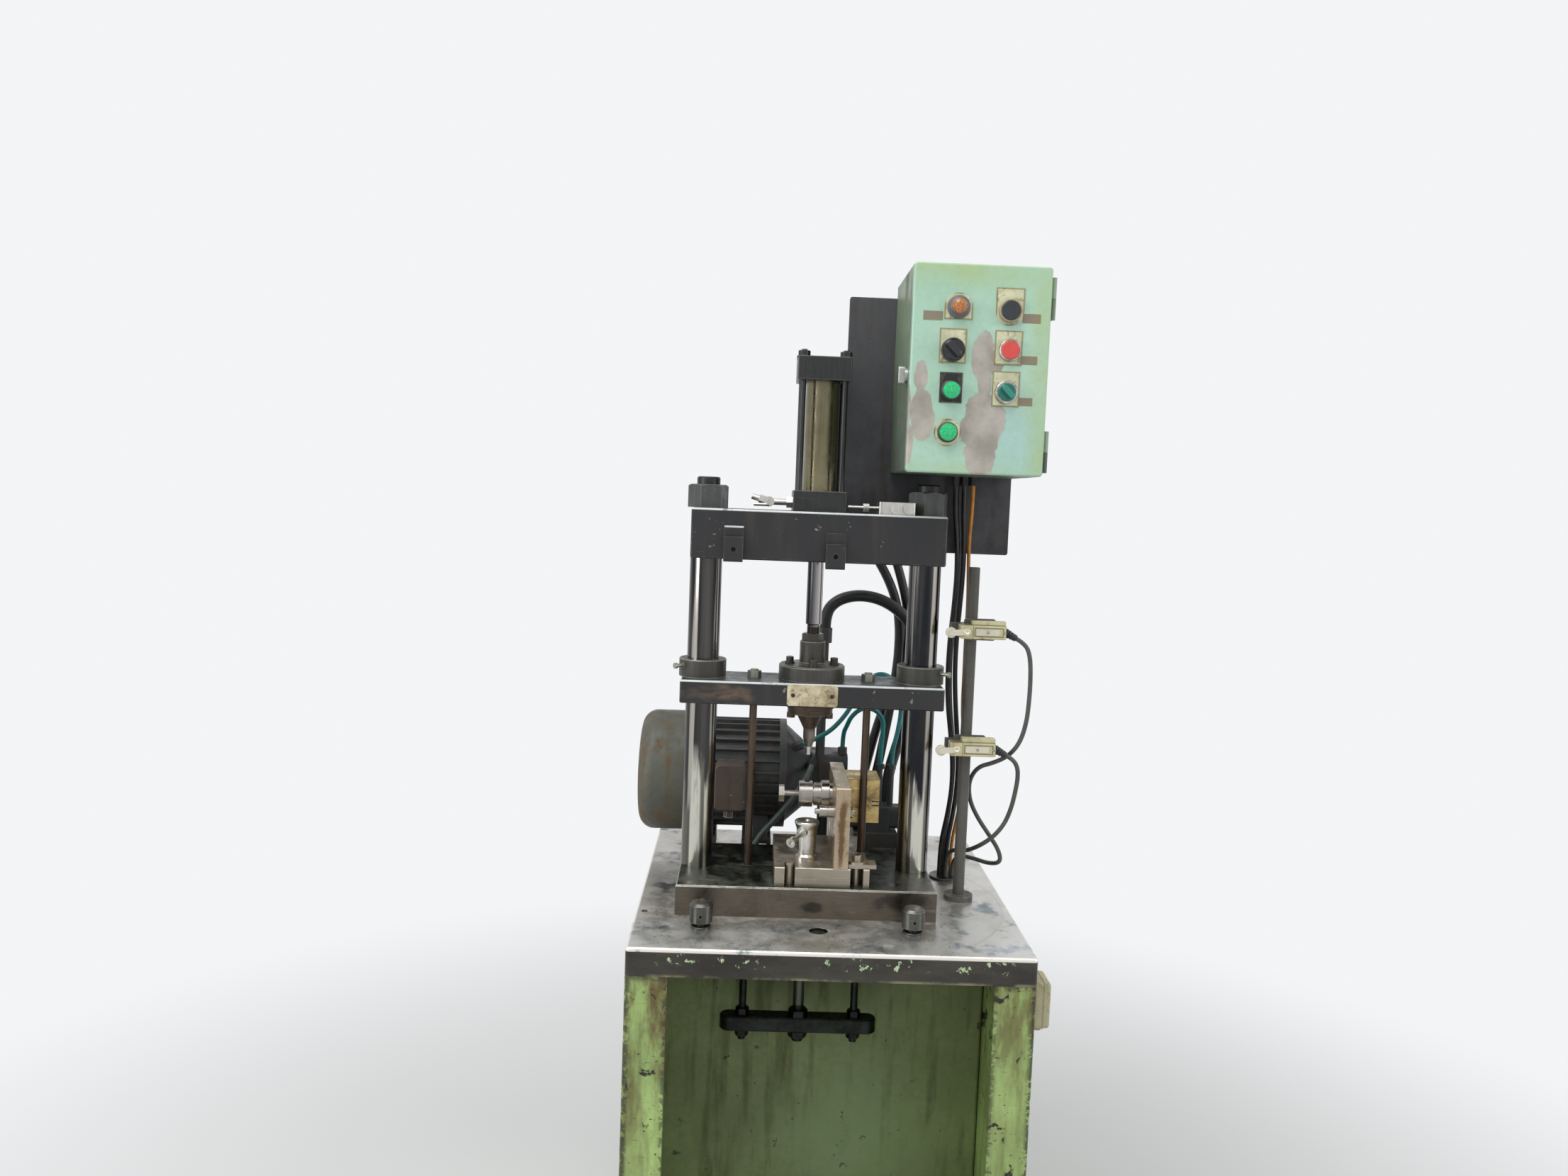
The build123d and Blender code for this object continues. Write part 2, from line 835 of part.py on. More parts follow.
# Pipe fitting on the left of the cylinder head, throttle valve block on its right, hose ends
port_z = beam_top_z + port_height
head_left_x = press_x - cylinder_cap_width / 2
banjo_place = (head_left_x - banjo_out, press_y, port_z)
bleed_place = (press_y - banjo_width / 2, port_z - bleed_screw_diameter)
throttle_y = from_front(throttle_from_front) + throttle_depth / 2
throttle_axis_z = beam_top_z + throttle_height / 2
valve_top_z = above_table(valve_height)
with BuildPart() as pipe_fittings:
    with BuildSketch(Plane.YZ.offset(head_left_x)):
        with Locations((press_y, port_z)):
            RegularPolygon(port_nut_flats / 2, 6, major_radius=False)
    extrude(amount=-port_nut_length)
    with BuildSketch(Plane.YZ.offset(head_left_x)):
        with Locations((press_y, port_z)):
            Circle(port_pipe_diameter / 2)
    extrude(amount=-banjo_out)
    with Locations(banjo_place):
        with Locations(Location((0, 0, 0), (90, 0, 0))):
            Cylinder(banjo_diameter / 2, banjo_width)
            Cylinder(banjo_bolt_diameter / 2, banjo_bolt_length)
    with BuildSketch(Plane(origin=banjo_place, z_dir=banjo_way)):
        RegularPolygon(banjo_nut_flats / 2, 6, major_radius=False)
    extrude(amount=banjo_nut_length)
    with BuildSketch(Plane(origin=banjo_place, z_dir=banjo_way)):
        Circle(banjo_pipe_diameter / 2)
    extrude(amount=banjo_pipe_length)
    with BuildSketch(Plane.YZ.offset(head_left_x - banjo_out)):
        with Locations(bleed_place):
            Circle(bleed_screw_diameter / 2)
    extrude(amount=-bleed_screw_length)
    with BuildSketch(Plane.XY.offset(beam_top_z)):
        with Locations((throttle_left + throttle_length / 2, throttle_y)):
            RectangleRounded(throttle_length, throttle_depth, small_corner)
    extrude(amount=throttle_height)
    with BuildSketch(Plane.XZ.offset(-(throttle_y - throttle_depth / 2))):
        with Locations(*[(throttle_left + place, throttle_axis_z) for place in throttle_plug_places]):
            Circle(throttle_plug_diameter / 2)
    extrude(amount=throttle_plug_height)
    with BuildSketch(Plane.YZ.offset(throttle_left)):
        with Locations((throttle_y, throttle_axis_z)):
            Circle(knob_stem / 2 + running_gap)
    extrude(amount=knob_bore_depth, mode=Mode.SUBTRACT)
    with Locations(*[Location((press_x, press_y + cylinder_cap_width / 2, above_table(z)), (-90, 0, 0))
                     for z in hose_port_heights]):
        add(hexagon_nut(hose_nut_flats, hose_fitting_length))
    with Locations(*[(x, from_front(valve_port_from_front), valve_top_z) for x in valve_port_places]):
        add(hexagon_nut(hose_nut_flats, hose_fitting_length))
    with Locations((drain_x, from_front(drain_from_front), table_top_z)):
        add(hexagon_nut(drain_nut_flats, hose_fitting_length))
write(pipe_fittings, "pipe_fittings")

with BuildPart() as throttle_knob:
    with BuildSketch(Plane.YZ.offset(throttle_left + knob_bore_depth - 2)):
        with Locations((throttle_y, throttle_axis_z)):
            Circle(knob_stem / 2)
    extrude(amount=-knob_stem_length)
    with BuildSketch(Plane.YZ.offset(throttle_left - knob_reach)):
        with Locations((throttle_y, throttle_axis_z)):
            Circle(knob_diameter / 2)
            with PolarLocations(knob_diameter / 2, 12):
                Circle(knurl_size, mode=Mode.SUBTRACT)
    extrude(amount=-knob_length)
write(throttle_knob, "throttle_knob")

# Motor: finned body with four lugs for its cowl, a drive end shield and two feet on its rails
cowl_lug_radius = cowl_radius - cowl_wall - 0.5
with BuildPart() as motor:
    with BuildSketch(Plane.YZ.offset(motor_left)):
        with Locations((motor_y, motor_z)):
            Circle(motor_radius)
            with PolarLocations(motor_radius + motor_fin_reach / 2 - 1, motor_fins):
                Rectangle(motor_fin_reach + 2, motor_fin_thickness)
    extrude(amount=motor_length)
    with BuildSketch(Plane.YZ.offset(motor_left)):
        with Locations((motor_y, motor_z)):
            with PolarLocations((motor_radius - 4 + cowl_lug_radius) / 2, 4, start_angle=45):
                Rectangle(cowl_lug_radius - motor_radius + 4, cowl_lug_width)
    extrude(amount=cowl_left + cowl_length - motor_left - cowl_lug_inset)
    with BuildSketch(Plane.YZ.offset(shield_x)):
        with Locations((motor_y, motor_z)):
            Circle(motor_radius + motor_fin_reach)
    extrude(amount=shield_thickness)
    with BuildSketch(Plane.XY.offset(above_table(rail_height))):
        with Locations(*[(motor_left + share * motor_length, motor_y) for share in rail_shares]):
            Rectangle(rail_width - 12, 1.5 * motor_radius)
    extrude(amount=motor_axis_height - rail_height - 0.72 * motor_radius)
write(motor, "motor")

# Fan cowl: a drawn cover over the motor's left end, with air slots in its end
with BuildPart() as fan_cowl:
    with BuildSketch(Plane.YZ.offset(cowl_left)):
        with Locations((motor_y, motor_z)):
            Circle(cowl_radius)
    extrude(amount=cowl_length)
    fillet(fan_cowl.faces().sort_by(Axis.X)[0].edges(), cowl_edge)
    offset(amount=-cowl_wall, openings=fan_cowl.faces().sort_by(Axis.X)[-1])
    with BuildSketch(Plane.YZ.offset(cowl_left)):
        with Locations((motor_y, motor_z)):
            for ring in cowl_slot_rings:
                with PolarLocations(ring, 12):
                    SlotOverall(cowl_slot_length, cowl_slot_width, rotation=90)
    extrude(amount=2 * cowl_wall, mode=Mode.SUBTRACT)
write(fan_cowl, "fan_cowl")

# Terminal box on the motor's front side, with a lid and a cable gland below
terminal_front = from_front(terminal_from_front)
with BuildPart() as terminal_box:
    with BuildSketch(Plane.XZ.offset(-terminal_front)):
        with Locations((terminal_x, motor_z)):
            RectangleRounded(terminal_width, terminal_height, terminal_corner)
    extrude(amount=-(motor_y - motor_radius * 0.9 - terminal_front))
    fillet(terminal_box.faces().sort_by(Axis.Y)[0].edges(), small_corner)
    with BuildSketch(Plane.XY.offset(motor_z - terminal_height / 2 + 1)):
        with Locations((terminal_x, terminal_front + terminal_gland_inset)):
            RegularPolygon(terminal_gland_flats / 2, 6, major_radius=False)
    extrude(amount=-terminal_gland_length)
    with BuildSketch(Plane.YZ.offset(motor_left)):
        with Locations((motor_y, motor_z)):
            Circle(motor_radius + motor_fin_reach + moving_gap)
    extrude(amount=motor_length, mode=Mode.SUBTRACT)
write(terminal_box, "terminal_box")

# Pump: bell housing, gear pump body, suction pipe into the tank and the riser to the arched hose
bell_tube_before = (-12, 404, 219.5)
bell_tube_end = (-34, 412, 208)
drain_tube_before = (-22, 386, 166)
drain_tube_end = (-18, 410, 170)
with BuildPart() as pump:
    with BuildSketch(Plane.YZ.offset(bell_x)):
        with Locations((motor_y, motor_z)):
            Circle(motor_radius)
    with BuildSketch(Plane.YZ.offset(pump_x)):
        with Locations((motor_y, motor_z)):
            Circle(0.55 * pump_width)
    loft()
    with BuildSketch(Plane.YZ.offset(pump_x)):
        with Locations((motor_y, motor_z)):
            RectangleRounded(pump_width, pump_width, pump_corner)
    extrude(amount=pump_length)
    with BuildSketch(Plane.XY.offset(pipe_end_z)):
        with Locations(suction_place):
            Circle(suction_pipe_diameter / 2)
    extrude(amount=motor_z - pump_width / 2 - pipe_end_z + 2)
    with BuildSketch(Plane.XY.offset(motor_z)):
        with Locations((riser_x, from_front(riser_from_front))):
            Circle(riser_diameter / 2)
    extrude(amount=above_table(riser_top) - motor_z)
    with BuildSketch(Plane.XY.offset(above_table(riser_top) - 4)):
        with Locations((riser_x, from_front(riser_from_front))):
            RegularPolygon(riser_nut_flats / 2, 6, major_radius=False)
    extrude(amount=riser_nut_height)
    for end, toward in ((bell_tube_end, bell_tube_before), (drain_tube_end, drain_tube_before)):
        direction = Vector(*local(*end)) - Vector(*local(*toward))
        with BuildSketch(Plane(origin=local(*end), z_dir=direction)):
            RegularPolygon(pump_fitting_flats / 2, 6, major_radius=False)
        extrude(amount=pump_fitting_length)
    with Locations(local(pump_tube_x, pump_tube_from_front, motor_axis_height + pump_width / 2)):
        add(hexagon_nut(pump_fitting_flats, pump_nut_height))
write(pump, "pump")

# Motor rails: two bent channels across the table
with BuildPart() as motor_rails:
    for share in rail_shares:
        with BuildSketch(Plane.XZ.offset(-(motor_y - motor_radius))):
            with Locations((motor_left + share * motor_length, above_table(rail_height / 2))):
                Rectangle(rail_width, rail_height)
                with Locations((0, -rail_sheet)):
                    Rectangle(rail_width - 2 * rail_sheet, rail_height, mode=Mode.SUBTRACT)
        extrude(amount=-2 * motor_radius)
write(motor_rails, "motor_rails")

# Valve block: drilled block with a solenoid valve on top, two tube stubs and the return pipe below
stub_foot_z = valve_top_z + stub_foot
with BuildPart() as valve_block:
    with BuildSketch(Plane.XY.offset(table_top_z)):
        with Locations((valve_x, valve_y)):
            Rectangle(valve_width, valve_depth)
    extrude(amount=valve_height)
    chamfer(valve_block.edges(), frame_edge / 2)
    with BuildSketch(Plane.XY.offset(valve_top_z)):
        with Locations((valve_x, valve_y - solenoid_inset)):
            Rectangle(solenoid_width, solenoid_depth)
    extrude(amount=solenoid_height)
    with BuildSketch(Plane.YZ.offset(valve_x)):
        with Locations((valve_y - solenoid_inset, valve_top_z + coil_height)):
            RectangleRounded(coil_diameter, coil_diameter, coil_corner)
    extrude(amount=coil_reach, both=True)
    with Locations(*[(x, from_front(stub_from_front), stub_foot_z) for x in stub_places]):
        Cylinder(stub_diameter / 2, above_table(stub_top) - stub_foot_z,
                 align=(Align.CENTER, Align.CENTER, Align.MIN))
    with Locations(*[(x, from_front(stub_from_front), above_table(stub_top)) for x in stub_places]):
        add(hexagon_nut(stub_nut_flats, stub_nut_height))
    with BuildSketch(Plane.XY.offset(pipe_end_z)):
        with Locations(return_place):
            Circle(return_pipe_diameter / 2)
    extrude(amount=table_top_z - pipe_end_z)
write(valve_block, "valve_block")

# Piston rod with its piston: threaded lower end, chromed rod, piston inside the tube
rod_foot_z = crosshead_top_z + 3
thread_top_z = (crosshead_top_z + coupling_flange_height + coupling_hub_height + lock_nut_height
                + lock_thread_height)
piston_z = head_top_z + cylinder_cap_spigot + cylinder_cushion + ram_down
piston_radius = cylinder_bore / 2 - running_gap
with BuildPart() as piston_rod:
    add(revolved([
        (0, rod_foot_z), (rod_thread / 2 - 1, rod_foot_z), (rod_thread / 2, rod_foot_z + 1),
        (rod_thread / 2, thread_top_z), (rod_diameter / 2, thread_top_z + 2), (rod_diameter / 2, piston_z),
        (piston_radius, piston_z), (piston_radius, piston_z + piston_height), (0, piston_z + piston_height),
    ]).moved(Location((press_x, press_y, 0))))
write(piston_rod, "piston_rod")

# Coupling flange between the piston rod and the crosshead
flange_top_z = crosshead_top_z + coupling_flange_height
hub_top_z = flange_top_z + coupling_hub_height
with BuildPart() as coupling_flange:
    add(revolved([
        (rod_thread / 2 + fit_gap, crosshead_top_z), (coupling_flange_diameter / 2 - 1, crosshead_top_z),
        (coupling_flange_diameter / 2, crosshead_top_z + 1),
        (coupling_flange_diameter / 2, flange_top_z - frame_edge),
        (coupling_flange_diameter / 2 - frame_edge, flange_top_z),
        (coupling_hub_diameter / 2 + 3, flange_top_z), (coupling_hub_diameter / 2, flange_top_z + 3),
        (coupling_hub_diameter / 2, hub_top_z - 1), (coupling_hub_diameter / 2 - 1, hub_top_z),
        (rod_thread / 2 + fit_gap, hub_top_z),
    ]).moved(Location((press_x, press_y, 0))))
    with BuildSketch(Plane.XY.offset(flange_top_z)):
        with Locations((press_x, press_y)):
            with PolarLocations(coupling_screw_circle / 2, 4):
                Circle(coupling_screw / 2 + fit_gap)
    extrude(amount=-coupling_flange_height, mode=Mode.SUBTRACT)
write(coupling_flange, "coupling_flange")

# Crosshead: a thick plate on two bushes, bored for the ejector rods and the coupling screws
with BuildPart() as crosshead:
    with BuildSketch(Plane.XY.offset(crosshead_z)):
        with Locations((press_x, press_y)):
            Rectangle(crosshead_width, crosshead_depth)
    extrude(amount=crosshead_thickness)
    chamfer(crosshead.edges(), frame_edge)
    with BuildSketch(Plane.XY.offset(crosshead_top_z)):
        with Locations(*column_places):
            Circle(bush_sleeve / 2 + fit_gap)
        with Locations(*rod_places):
            Circle(ejector_rod_diameter / 2 + fit_gap)
    extrude(amount=-crosshead_thickness, mode=Mode.SUBTRACT)
    with BuildSketch(Plane.XY.offset(crosshead_top_z)):
        with Locations((press_x, press_y)):
            with PolarLocations(coupling_screw_circle / 2, 4):
                Circle(coupling_screw / 2 + fit_gap)
    extrude(amount=-coupling_screw_depth, mode=Mode.SUBTRACT)
write(crosshead, "crosshead")

# Flanged bushes that slide on the columns, each with a tapped hole for its trip screw
column_bore = column_diameter / 2 + running_gap
bush_top_z = crosshead_top_z + bush_flange_height
trip_z = crosshead_top_z + trip_height
trip_tapping = 7
trip_places = [
    (column_places[0], 180 + trip_angle),
    (column_places[1], -trip_angle),
]
bush = revolved([
    (column_bore, crosshead_z), (bush_sleeve / 2, crosshead_z), (bush_sleeve / 2, crosshead_top_z),
    (bush_flange / 2, crosshead_top_z), (bush_flange / 2, bush_top_z - small_bevel),
    (bush_flange / 2 - small_bevel, bush_top_z), (column_bore, bush_top_z),
])
with BuildPart() as crosshead_bushes:
    with Locations(*column_places):
        add(bush)
    for (x, y), angle in trip_places:
        out = Vector(math.cos(math.radians(angle)), math.sin(math.radians(angle)), 0)
        with BuildSketch(Plane(origin=Vector(x, y, trip_z) + out * trip_reach, z_dir=out)):
            Circle(trip_diameter / 2 + fit_gap)
        extrude(amount=-(trip_reach - bush_flange / 2 + trip_tapping), mode=Mode.SUBTRACT)
write(crosshead_bushes, "crosshead_bushes")

# Fasteners that move with the ram
coupling_screw_piece = socket_screw(
    coupling_screw, washer_height + coupling_flange_height + coupling_screw_depth - 2)
spring_washer = revolved([
    (coupling_screw / 2 + fit_gap, 0), (washer_diameter / 2, 0), (washer_diameter / 2, washer_height),
    (coupling_screw / 2 + fit_gap, washer_height),
])
with BuildPart() as ram_fasteners:
    with Locations((press_x, press_y, hub_top_z)):
        add(hexagon_nut(lock_nut_flats, lock_nut_height, rod_thread + 2 * fit_gap))
    with Locations((press_x, press_y, flange_top_z)):
        with PolarLocations(coupling_screw_circle / 2, 4):
            add(spring_washer)
    with Locations((press_x, press_y, flange_top_z + washer_height)):
        with PolarLocations(coupling_screw_circle / 2, 4):
            add(coupling_screw_piece)
    with Locations(*[(x, y, crosshead_top_z) for x, y in rod_places]):
        add(hexagon_nut(ejector_nut_flats, ejector_nut_height, ejector_rod_diameter + 2 * fit_gap))
    for (x, y), angle in trip_places:
        out = Vector(math.cos(math.radians(angle)), math.sin(math.radians(angle)), 0)
        thread_start = bush_flange / 2 - trip_tapping + small_bevel
        with BuildSketch(Plane(origin=Vector(x, y, trip_z) + out * thread_start, z_dir=out)):
            Circle(trip_diameter / 2)
        extrude(amount=trip_reach - thread_start)
        head_start = trip_reach - trip_head_height
        with BuildSketch(Plane(origin=Vector(x, y, trip_z) + out * head_start, z_dir=out)):
            Circle(trip_head_diameter / 2)
        extrude(amount=trip_head_height)
write(ram_fasteners, "ram_fasteners")

# Tool holder: turned flange, cone and neck, with two screws under its flange
holder_z = crosshead_z - holder_flange_height
cone_z = holder_z - holder_cone_height
neck_z = cone_z - holder_neck_height
taper_z = neck_z - holder_taper_height
holder_rim = holder_flange_diameter / 2
rim_z = crosshead_z - holder_rim_height - 2
with BuildPart() as tool_holder:
    add(revolved([
        (0, crosshead_z), (holder_rim - small_bevel, crosshead_z), (holder_rim, crosshead_z - small_bevel),
        (holder_rim, crosshead_z - holder_rim_height), (holder_rim - holder_step, rim_z),
        (holder_rim - holder_step, holder_z), (holder_cone_diameter / 2, holder_z),
        (holder_neck_diameter / 2, cone_z), (holder_neck_diameter / 2, neck_z),
        (holder_tip_diameter / 2, taper_z), (punch_diameter / 2 + fit_gap, taper_z),
        (punch_diameter / 2 + fit_gap, taper_z + punch_seat), (0, taper_z + punch_seat),
    ]).moved(Location((press_x, press_y, 0))))
    with Locations(Location((press_x, press_y, holder_z), (180, 0, 0))):
        with PolarLocations(holder_screw_circle / 2, 2):
            Cylinder(holder_screw_diameter / 2, holder_screw_height,
                     align=(Align.CENTER, Align.CENTER, Align.MIN))
write(tool_holder, "tool_holder")

# Punch held in the tool holder, with a rounded tip
with BuildPart() as punch:
    with Locations((press_x, press_y, taper_z - punch_reach)):
        Cylinder(punch_diameter / 2, punch_reach + punch_seat - fit_gap,
                 align=(Align.CENTER, Align.CENTER, Align.MIN))
    chamfer(punch.edges().group_by(Axis.Z)[0], small_bevel)
write(punch, "punch")

# Ejector: two side rods from the crosshead to the bar under the table, and a centre rod on the bar
bar_top_z = table_top_z - ejector_bar_below_table
bar_z = bar_top_z - ejector_bar_height
rod_end_z = bar_z - ejector_nut_height - ejector_thread_end
ejector_nut = hexagon_nut(ejector_nut_flats, ejector_nut_height)
ejector_pin_nut = hexagon_nut(ejector_pin_nut_flats, ejector_nut_height)
with BuildPart() as ejector_rods:
    with Locations(*[(x, y, rod_end_z) for x, y in rod_places]):
        Cylinder(ejector_rod_diameter / 2, crosshead_top_z + ejector_nut_height + 2 - rod_end_z,
                 align=(Align.CENTER, Align.CENTER, Align.MIN))
    with Locations((press_x, press_y, rod_end_z)):
        Cylinder(ejector_pin_diameter / 2, above_table(ejector_pin_above_table) - rod_end_z,
                 align=(Align.CENTER, Align.CENTER, Align.MIN))
    with Locations(*[(x, y, bar_top_z) for x, y in rod_places]):
        add(ejector_nut)
    with Locations(*[Location((x, y, bar_z), (180, 0, 0)) for x, y in rod_places]):
        add(ejector_nut)
    with Locations((press_x, press_y, bar_top_z), Location((press_x, press_y, bar_z), (180, 0, 0))):
        add(ejector_pin_nut)
write(ejector_rods, "ejector_rods")

with BuildPart() as ejector_bar:
    with BuildSketch(Plane.XY.offset(bar_z)):
        with Locations((press_x, press_y)):
            SlotOverall(ejector_bar_width, ejector_bar_depth)
    extrude(amount=ejector_bar_height)
    chamfer(ejector_bar.edges().group_by(Axis.Z)[-1] + ejector_bar.edges().group_by(Axis.Z)[0], frame_edge)
    with BuildSketch(Plane.XY.offset(bar_top_z)):
        with Locations(*rod_places):
            Circle(ejector_rod_diameter / 2 + fit_gap)
        with Locations((press_x, press_y)):
            Circle(ejector_pin_diameter / 2 + fit_gap)
    extrude(amount=-ejector_bar_height, mode=Mode.SUBTRACT)
write(ejector_bar, "ejector_bar")

# Fixture plate with two open slots in its front edge and a hole over the ejector
fixture_front = from_front(fixture_from_front)
fixture_y = fixture_front + fixture_depth / 2
wall_middle = fixture_x + wall_x
locator_y = press_y
locator_z = base_top_z + locator_height
slot_places = [
    (fixture_x + fixture_slot_left_x, fixture_slot_left),
    (fixture_x + fixture_slot_right_x, fixture_slot_right),
]
with BuildPart() as fixture_plate:
    with BuildSketch(Plane.XY.offset(base_top_z)):
        with Locations((fixture_x, fixture_y)):
            Rectangle(fixture_width, fixture_depth)
        for slot_x, slot_width in slot_places:
            with Locations((slot_x, fixture_front + fixture_slot_depth - slot_width / 2)):
                Circle(slot_width / 2, mode=Mode.SUBTRACT)
            with Locations((slot_x, fixture_front)):
                Rectangle(slot_width, 2 * fixture_slot_depth - slot_width, mode=Mode.SUBTRACT)
        with Locations((press_x, press_y)):
            Circle(ejector_pin_diameter / 2 + ejector_hole_gap, mode=Mode.SUBTRACT)
        with Locations(rod_places[1]):
            Circle(ejector_rod_diameter / 2 + ejector_hole_gap, mode=Mode.SUBTRACT)
        with Locations((fixture_x + fixture_width / 2, press_y)):
            Rectangle(fixture_x + fixture_width - 2 * rod_places[1][0] + fixture_x,
                      ejector_rod_diameter + 2 * ejector_hole_gap, mode=Mode.SUBTRACT)
    extrude(amount=fixture_thickness)
    chamfer(fixture_plate.edges().filter_by(Axis.X).group_by(Axis.Z)[-1], frame_edge / 2)
write(fixture_plate, "fixture_plate")

# Fixture wall: upright plate bored for the locator and the lower pin
pin_y = from_front(pin_from_front)
pin_z = base_top_z + pin_height
wall_left_x = wall_middle - wall_thickness / 2
wall_right_x = wall_middle + wall_thickness / 2
with BuildPart() as fixture_wall:
    with BuildSketch(Plane.XY.offset(fixture_top_z)):
        with Locations((wall_middle, fixture_y)):
            Rectangle(wall_thickness, fixture_depth)
    extrude(amount=wall_height)
    chamfer(fixture_wall.edges().group_by(Axis.Z)[-1], frame_edge / 2)
    with BuildSketch(Plane.YZ.offset(wall_right_x)):
        with Locations((locator_y, locator_z)):
            Circle(locator_shank_diameter / 2 + fit_gap)
        with Locations((pin_y, pin_z)):
            Circle(pin_shank_diameter / 2 + fit_gap)
    extrude(amount=-wall_thickness, mode=Mode.SUBTRACT)
write(fixture_wall, "fixture_wall")

# Locator and lower pin: turned pieces lying along X in the wall
flange_radius = locator_flange_diameter / 2
flange_left_x = wall_left_x - locator_flange_reach
flange_right_x = flange_left_x + 14
bush_right_x = wall_left_x - locator_bush_reach
bush_left_x = bush_right_x - locator_bush_length
screw_head_x = wall_left_x - locator_screw_reach
locator_outline = [
    (wall_right_x, 0), (wall_right_x, locator_shank_diameter / 2), (wall_left_x, locator_shank_diameter / 2),
    (wall_left_x, locator_step_radius), (flange_right_x, locator_step_radius),
    (flange_right_x, flange_radius - small_bevel), (flange_right_x - small_bevel, flange_radius),
    (flange_left_x + small_bevel, flange_radius), (flange_left_x, flange_radius - small_bevel),
    (flange_left_x, locator_step_radius), (bush_right_x + 2, locator_step_radius),
    (bush_right_x + 2, locator_neck_radius), (bush_right_x, locator_neck_radius),
    (bush_right_x, locator_diameter / 2 - small_bevel / 2),
    (bush_right_x - small_bevel / 2, locator_diameter / 2),
    (bush_left_x + small_bevel / 2, locator_diameter / 2),
    (bush_left_x, locator_diameter / 2 - small_bevel / 2),
    (bush_left_x, locator_screw_diameter / 2), (screw_head_x, locator_screw_diameter / 2), (screw_head_x, 0),
]
groove_radius = pin_diameter / 2 - pin_groove_depth
pin_end_x = wall_left_x - pin_reach
pin_tip_x = pin_end_x - pin_tip_length
pin_outline = [
    (wall_right_x + pin_thread_end, 0), (wall_right_x + pin_thread_end, pin_shank_diameter / 2),
    (wall_left_x, pin_shank_diameter / 2), (wall_left_x, pin_diameter / 2),
    (wall_left_x - 8, pin_diameter / 2), (wall_left_x - 8.5, groove_radius),
    (wall_left_x - 10, groove_radius), (wall_left_x - 10.5, pin_diameter / 2),
    (pin_end_x + small_bevel / 2, pin_diameter / 2), (pin_end_x, pin_diameter / 2 - small_bevel / 2),
    (pin_end_x, pin_tip_diameter / 2), (pin_tip_x + small_bevel, pin_tip_diameter / 2),
    (pin_tip_x, pin_tip_diameter / 2 - small_bevel), (pin_tip_x, 0),
]
with BuildPart() as locator:
    with BuildSketch(Plane(origin=(0, locator_y, locator_z), x_dir=(1, 0, 0), z_dir=(0, -1, 0))):
        Polygon(*locator_outline, align=None)
    revolve(axis=Axis((0, locator_y, locator_z), (1, 0, 0)))
    with BuildSketch(Plane.YZ.offset(screw_head_x)):
        with Locations((locator_y, locator_z)):
            RegularPolygon(locator_head_flats / 2, 6, major_radius=False)
    extrude(amount=-locator_head_height)
    with BuildSketch(Plane.XY.offset(locator_z)):
        with Locations((press_x, press_y)):
            Circle(cross_hole / 2)
    extrude(amount=locator_diameter, both=True, mode=Mode.SUBTRACT)
    with BuildSketch(Plane(origin=(0, pin_y, pin_z), x_dir=(1, 0, 0), z_dir=(0, -1, 0))):
        Polygon(*pin_outline, align=None)
    revolve(axis=Axis((0, pin_y, pin_z), (1, 0, 0)))
write(locator, "locator")

# Brass block on the wall's right face, with two saw cuts
block_middle_y = from_front(block_from_front) + block_depth / 2
block_z = base_top_z + block_bottom
with BuildPart() as brass_block:
    with BuildSketch(Plane.XY.offset(block_z)):
        with Locations((wall_right_x + block_width / 2, block_middle_y)):
            Rectangle(block_width, block_depth)
    extrude(amount=block_height)
    chamfer(brass_block.edges(), small_bevel)
    with BuildSketch(Plane.XZ.offset(-(block_middle_y - block_depth / 2))):
        for cut_height in saw_cut_heights:
            with Locations((wall_right_x + block_width, block_z + cut_height)):
                Rectangle(2 * saw_cut_depth, saw_cut_width)
    extrude(amount=-block_depth, mode=Mode.SUBTRACT)
write(brass_block, "brass_block")

# Nest post: turned foot and bell top with a slanting flat and a clamp screw through a boss
post_x = press_x
post_y = from_front(post_from_front)
post_top_z = fixture_top_z + post_height
screw_way = Vector(-20, -35, -8).normalized()
screw_start = Vector(post_x - 7, post_y - 14, post_top_z - 15)
head_place = screw_start + screw_way * (clamp_screw_length - 6)
with BuildPart() as nest_post:
    add(revolved([
        (0, fixture_top_z), (post_foot_diameter / 2, fixture_top_z),
        (post_foot_diameter / 2, fixture_top_z + post_foot_height),
        (post_diameter / 2, fixture_top_z + post_foot_height + small_corner),
        (post_diameter / 2, post_top_z - 22), (post_diameter / 2 + 1, post_top_z - 12),
        (post_top_diameter / 2, post_top_z - 4), (post_top_diameter / 2, post_top_z - small_bevel),
        (post_top_diameter / 2 - small_bevel, post_top_z), (post_dish_diameter / 2, post_top_z),
        (0, post_top_z - post_dish_depth),
    ]).moved(Location((post_x, post_y, 0))))
    with BuildSketch(Plane(origin=screw_start - screw_way * (clamp_boss_length - 3), z_dir=screw_way)):
        Circle(clamp_boss_diameter / 2)
    extrude(amount=clamp_boss_length)
    with BuildSketch(Plane(origin=screw_start, z_dir=screw_way)):
        Circle(clamp_screw_diameter / 2)
    extrude(amount=clamp_screw_length)
    with BuildSketch(Plane(origin=head_place, z_dir=screw_way)):
        Circle(clamp_head_diameter / 2)
    extrude(amount=clamp_head_height)
    with BuildSketch(Plane(origin=head_place + screw_way * clamp_head_height, z_dir=screw_way)):
        RegularPolygon(clamp_socket_flats / 2, 6, major_radius=False)
    extrude(amount=-clamp_head_height / 2, mode=Mode.SUBTRACT)
write(nest_post, "nest_post")

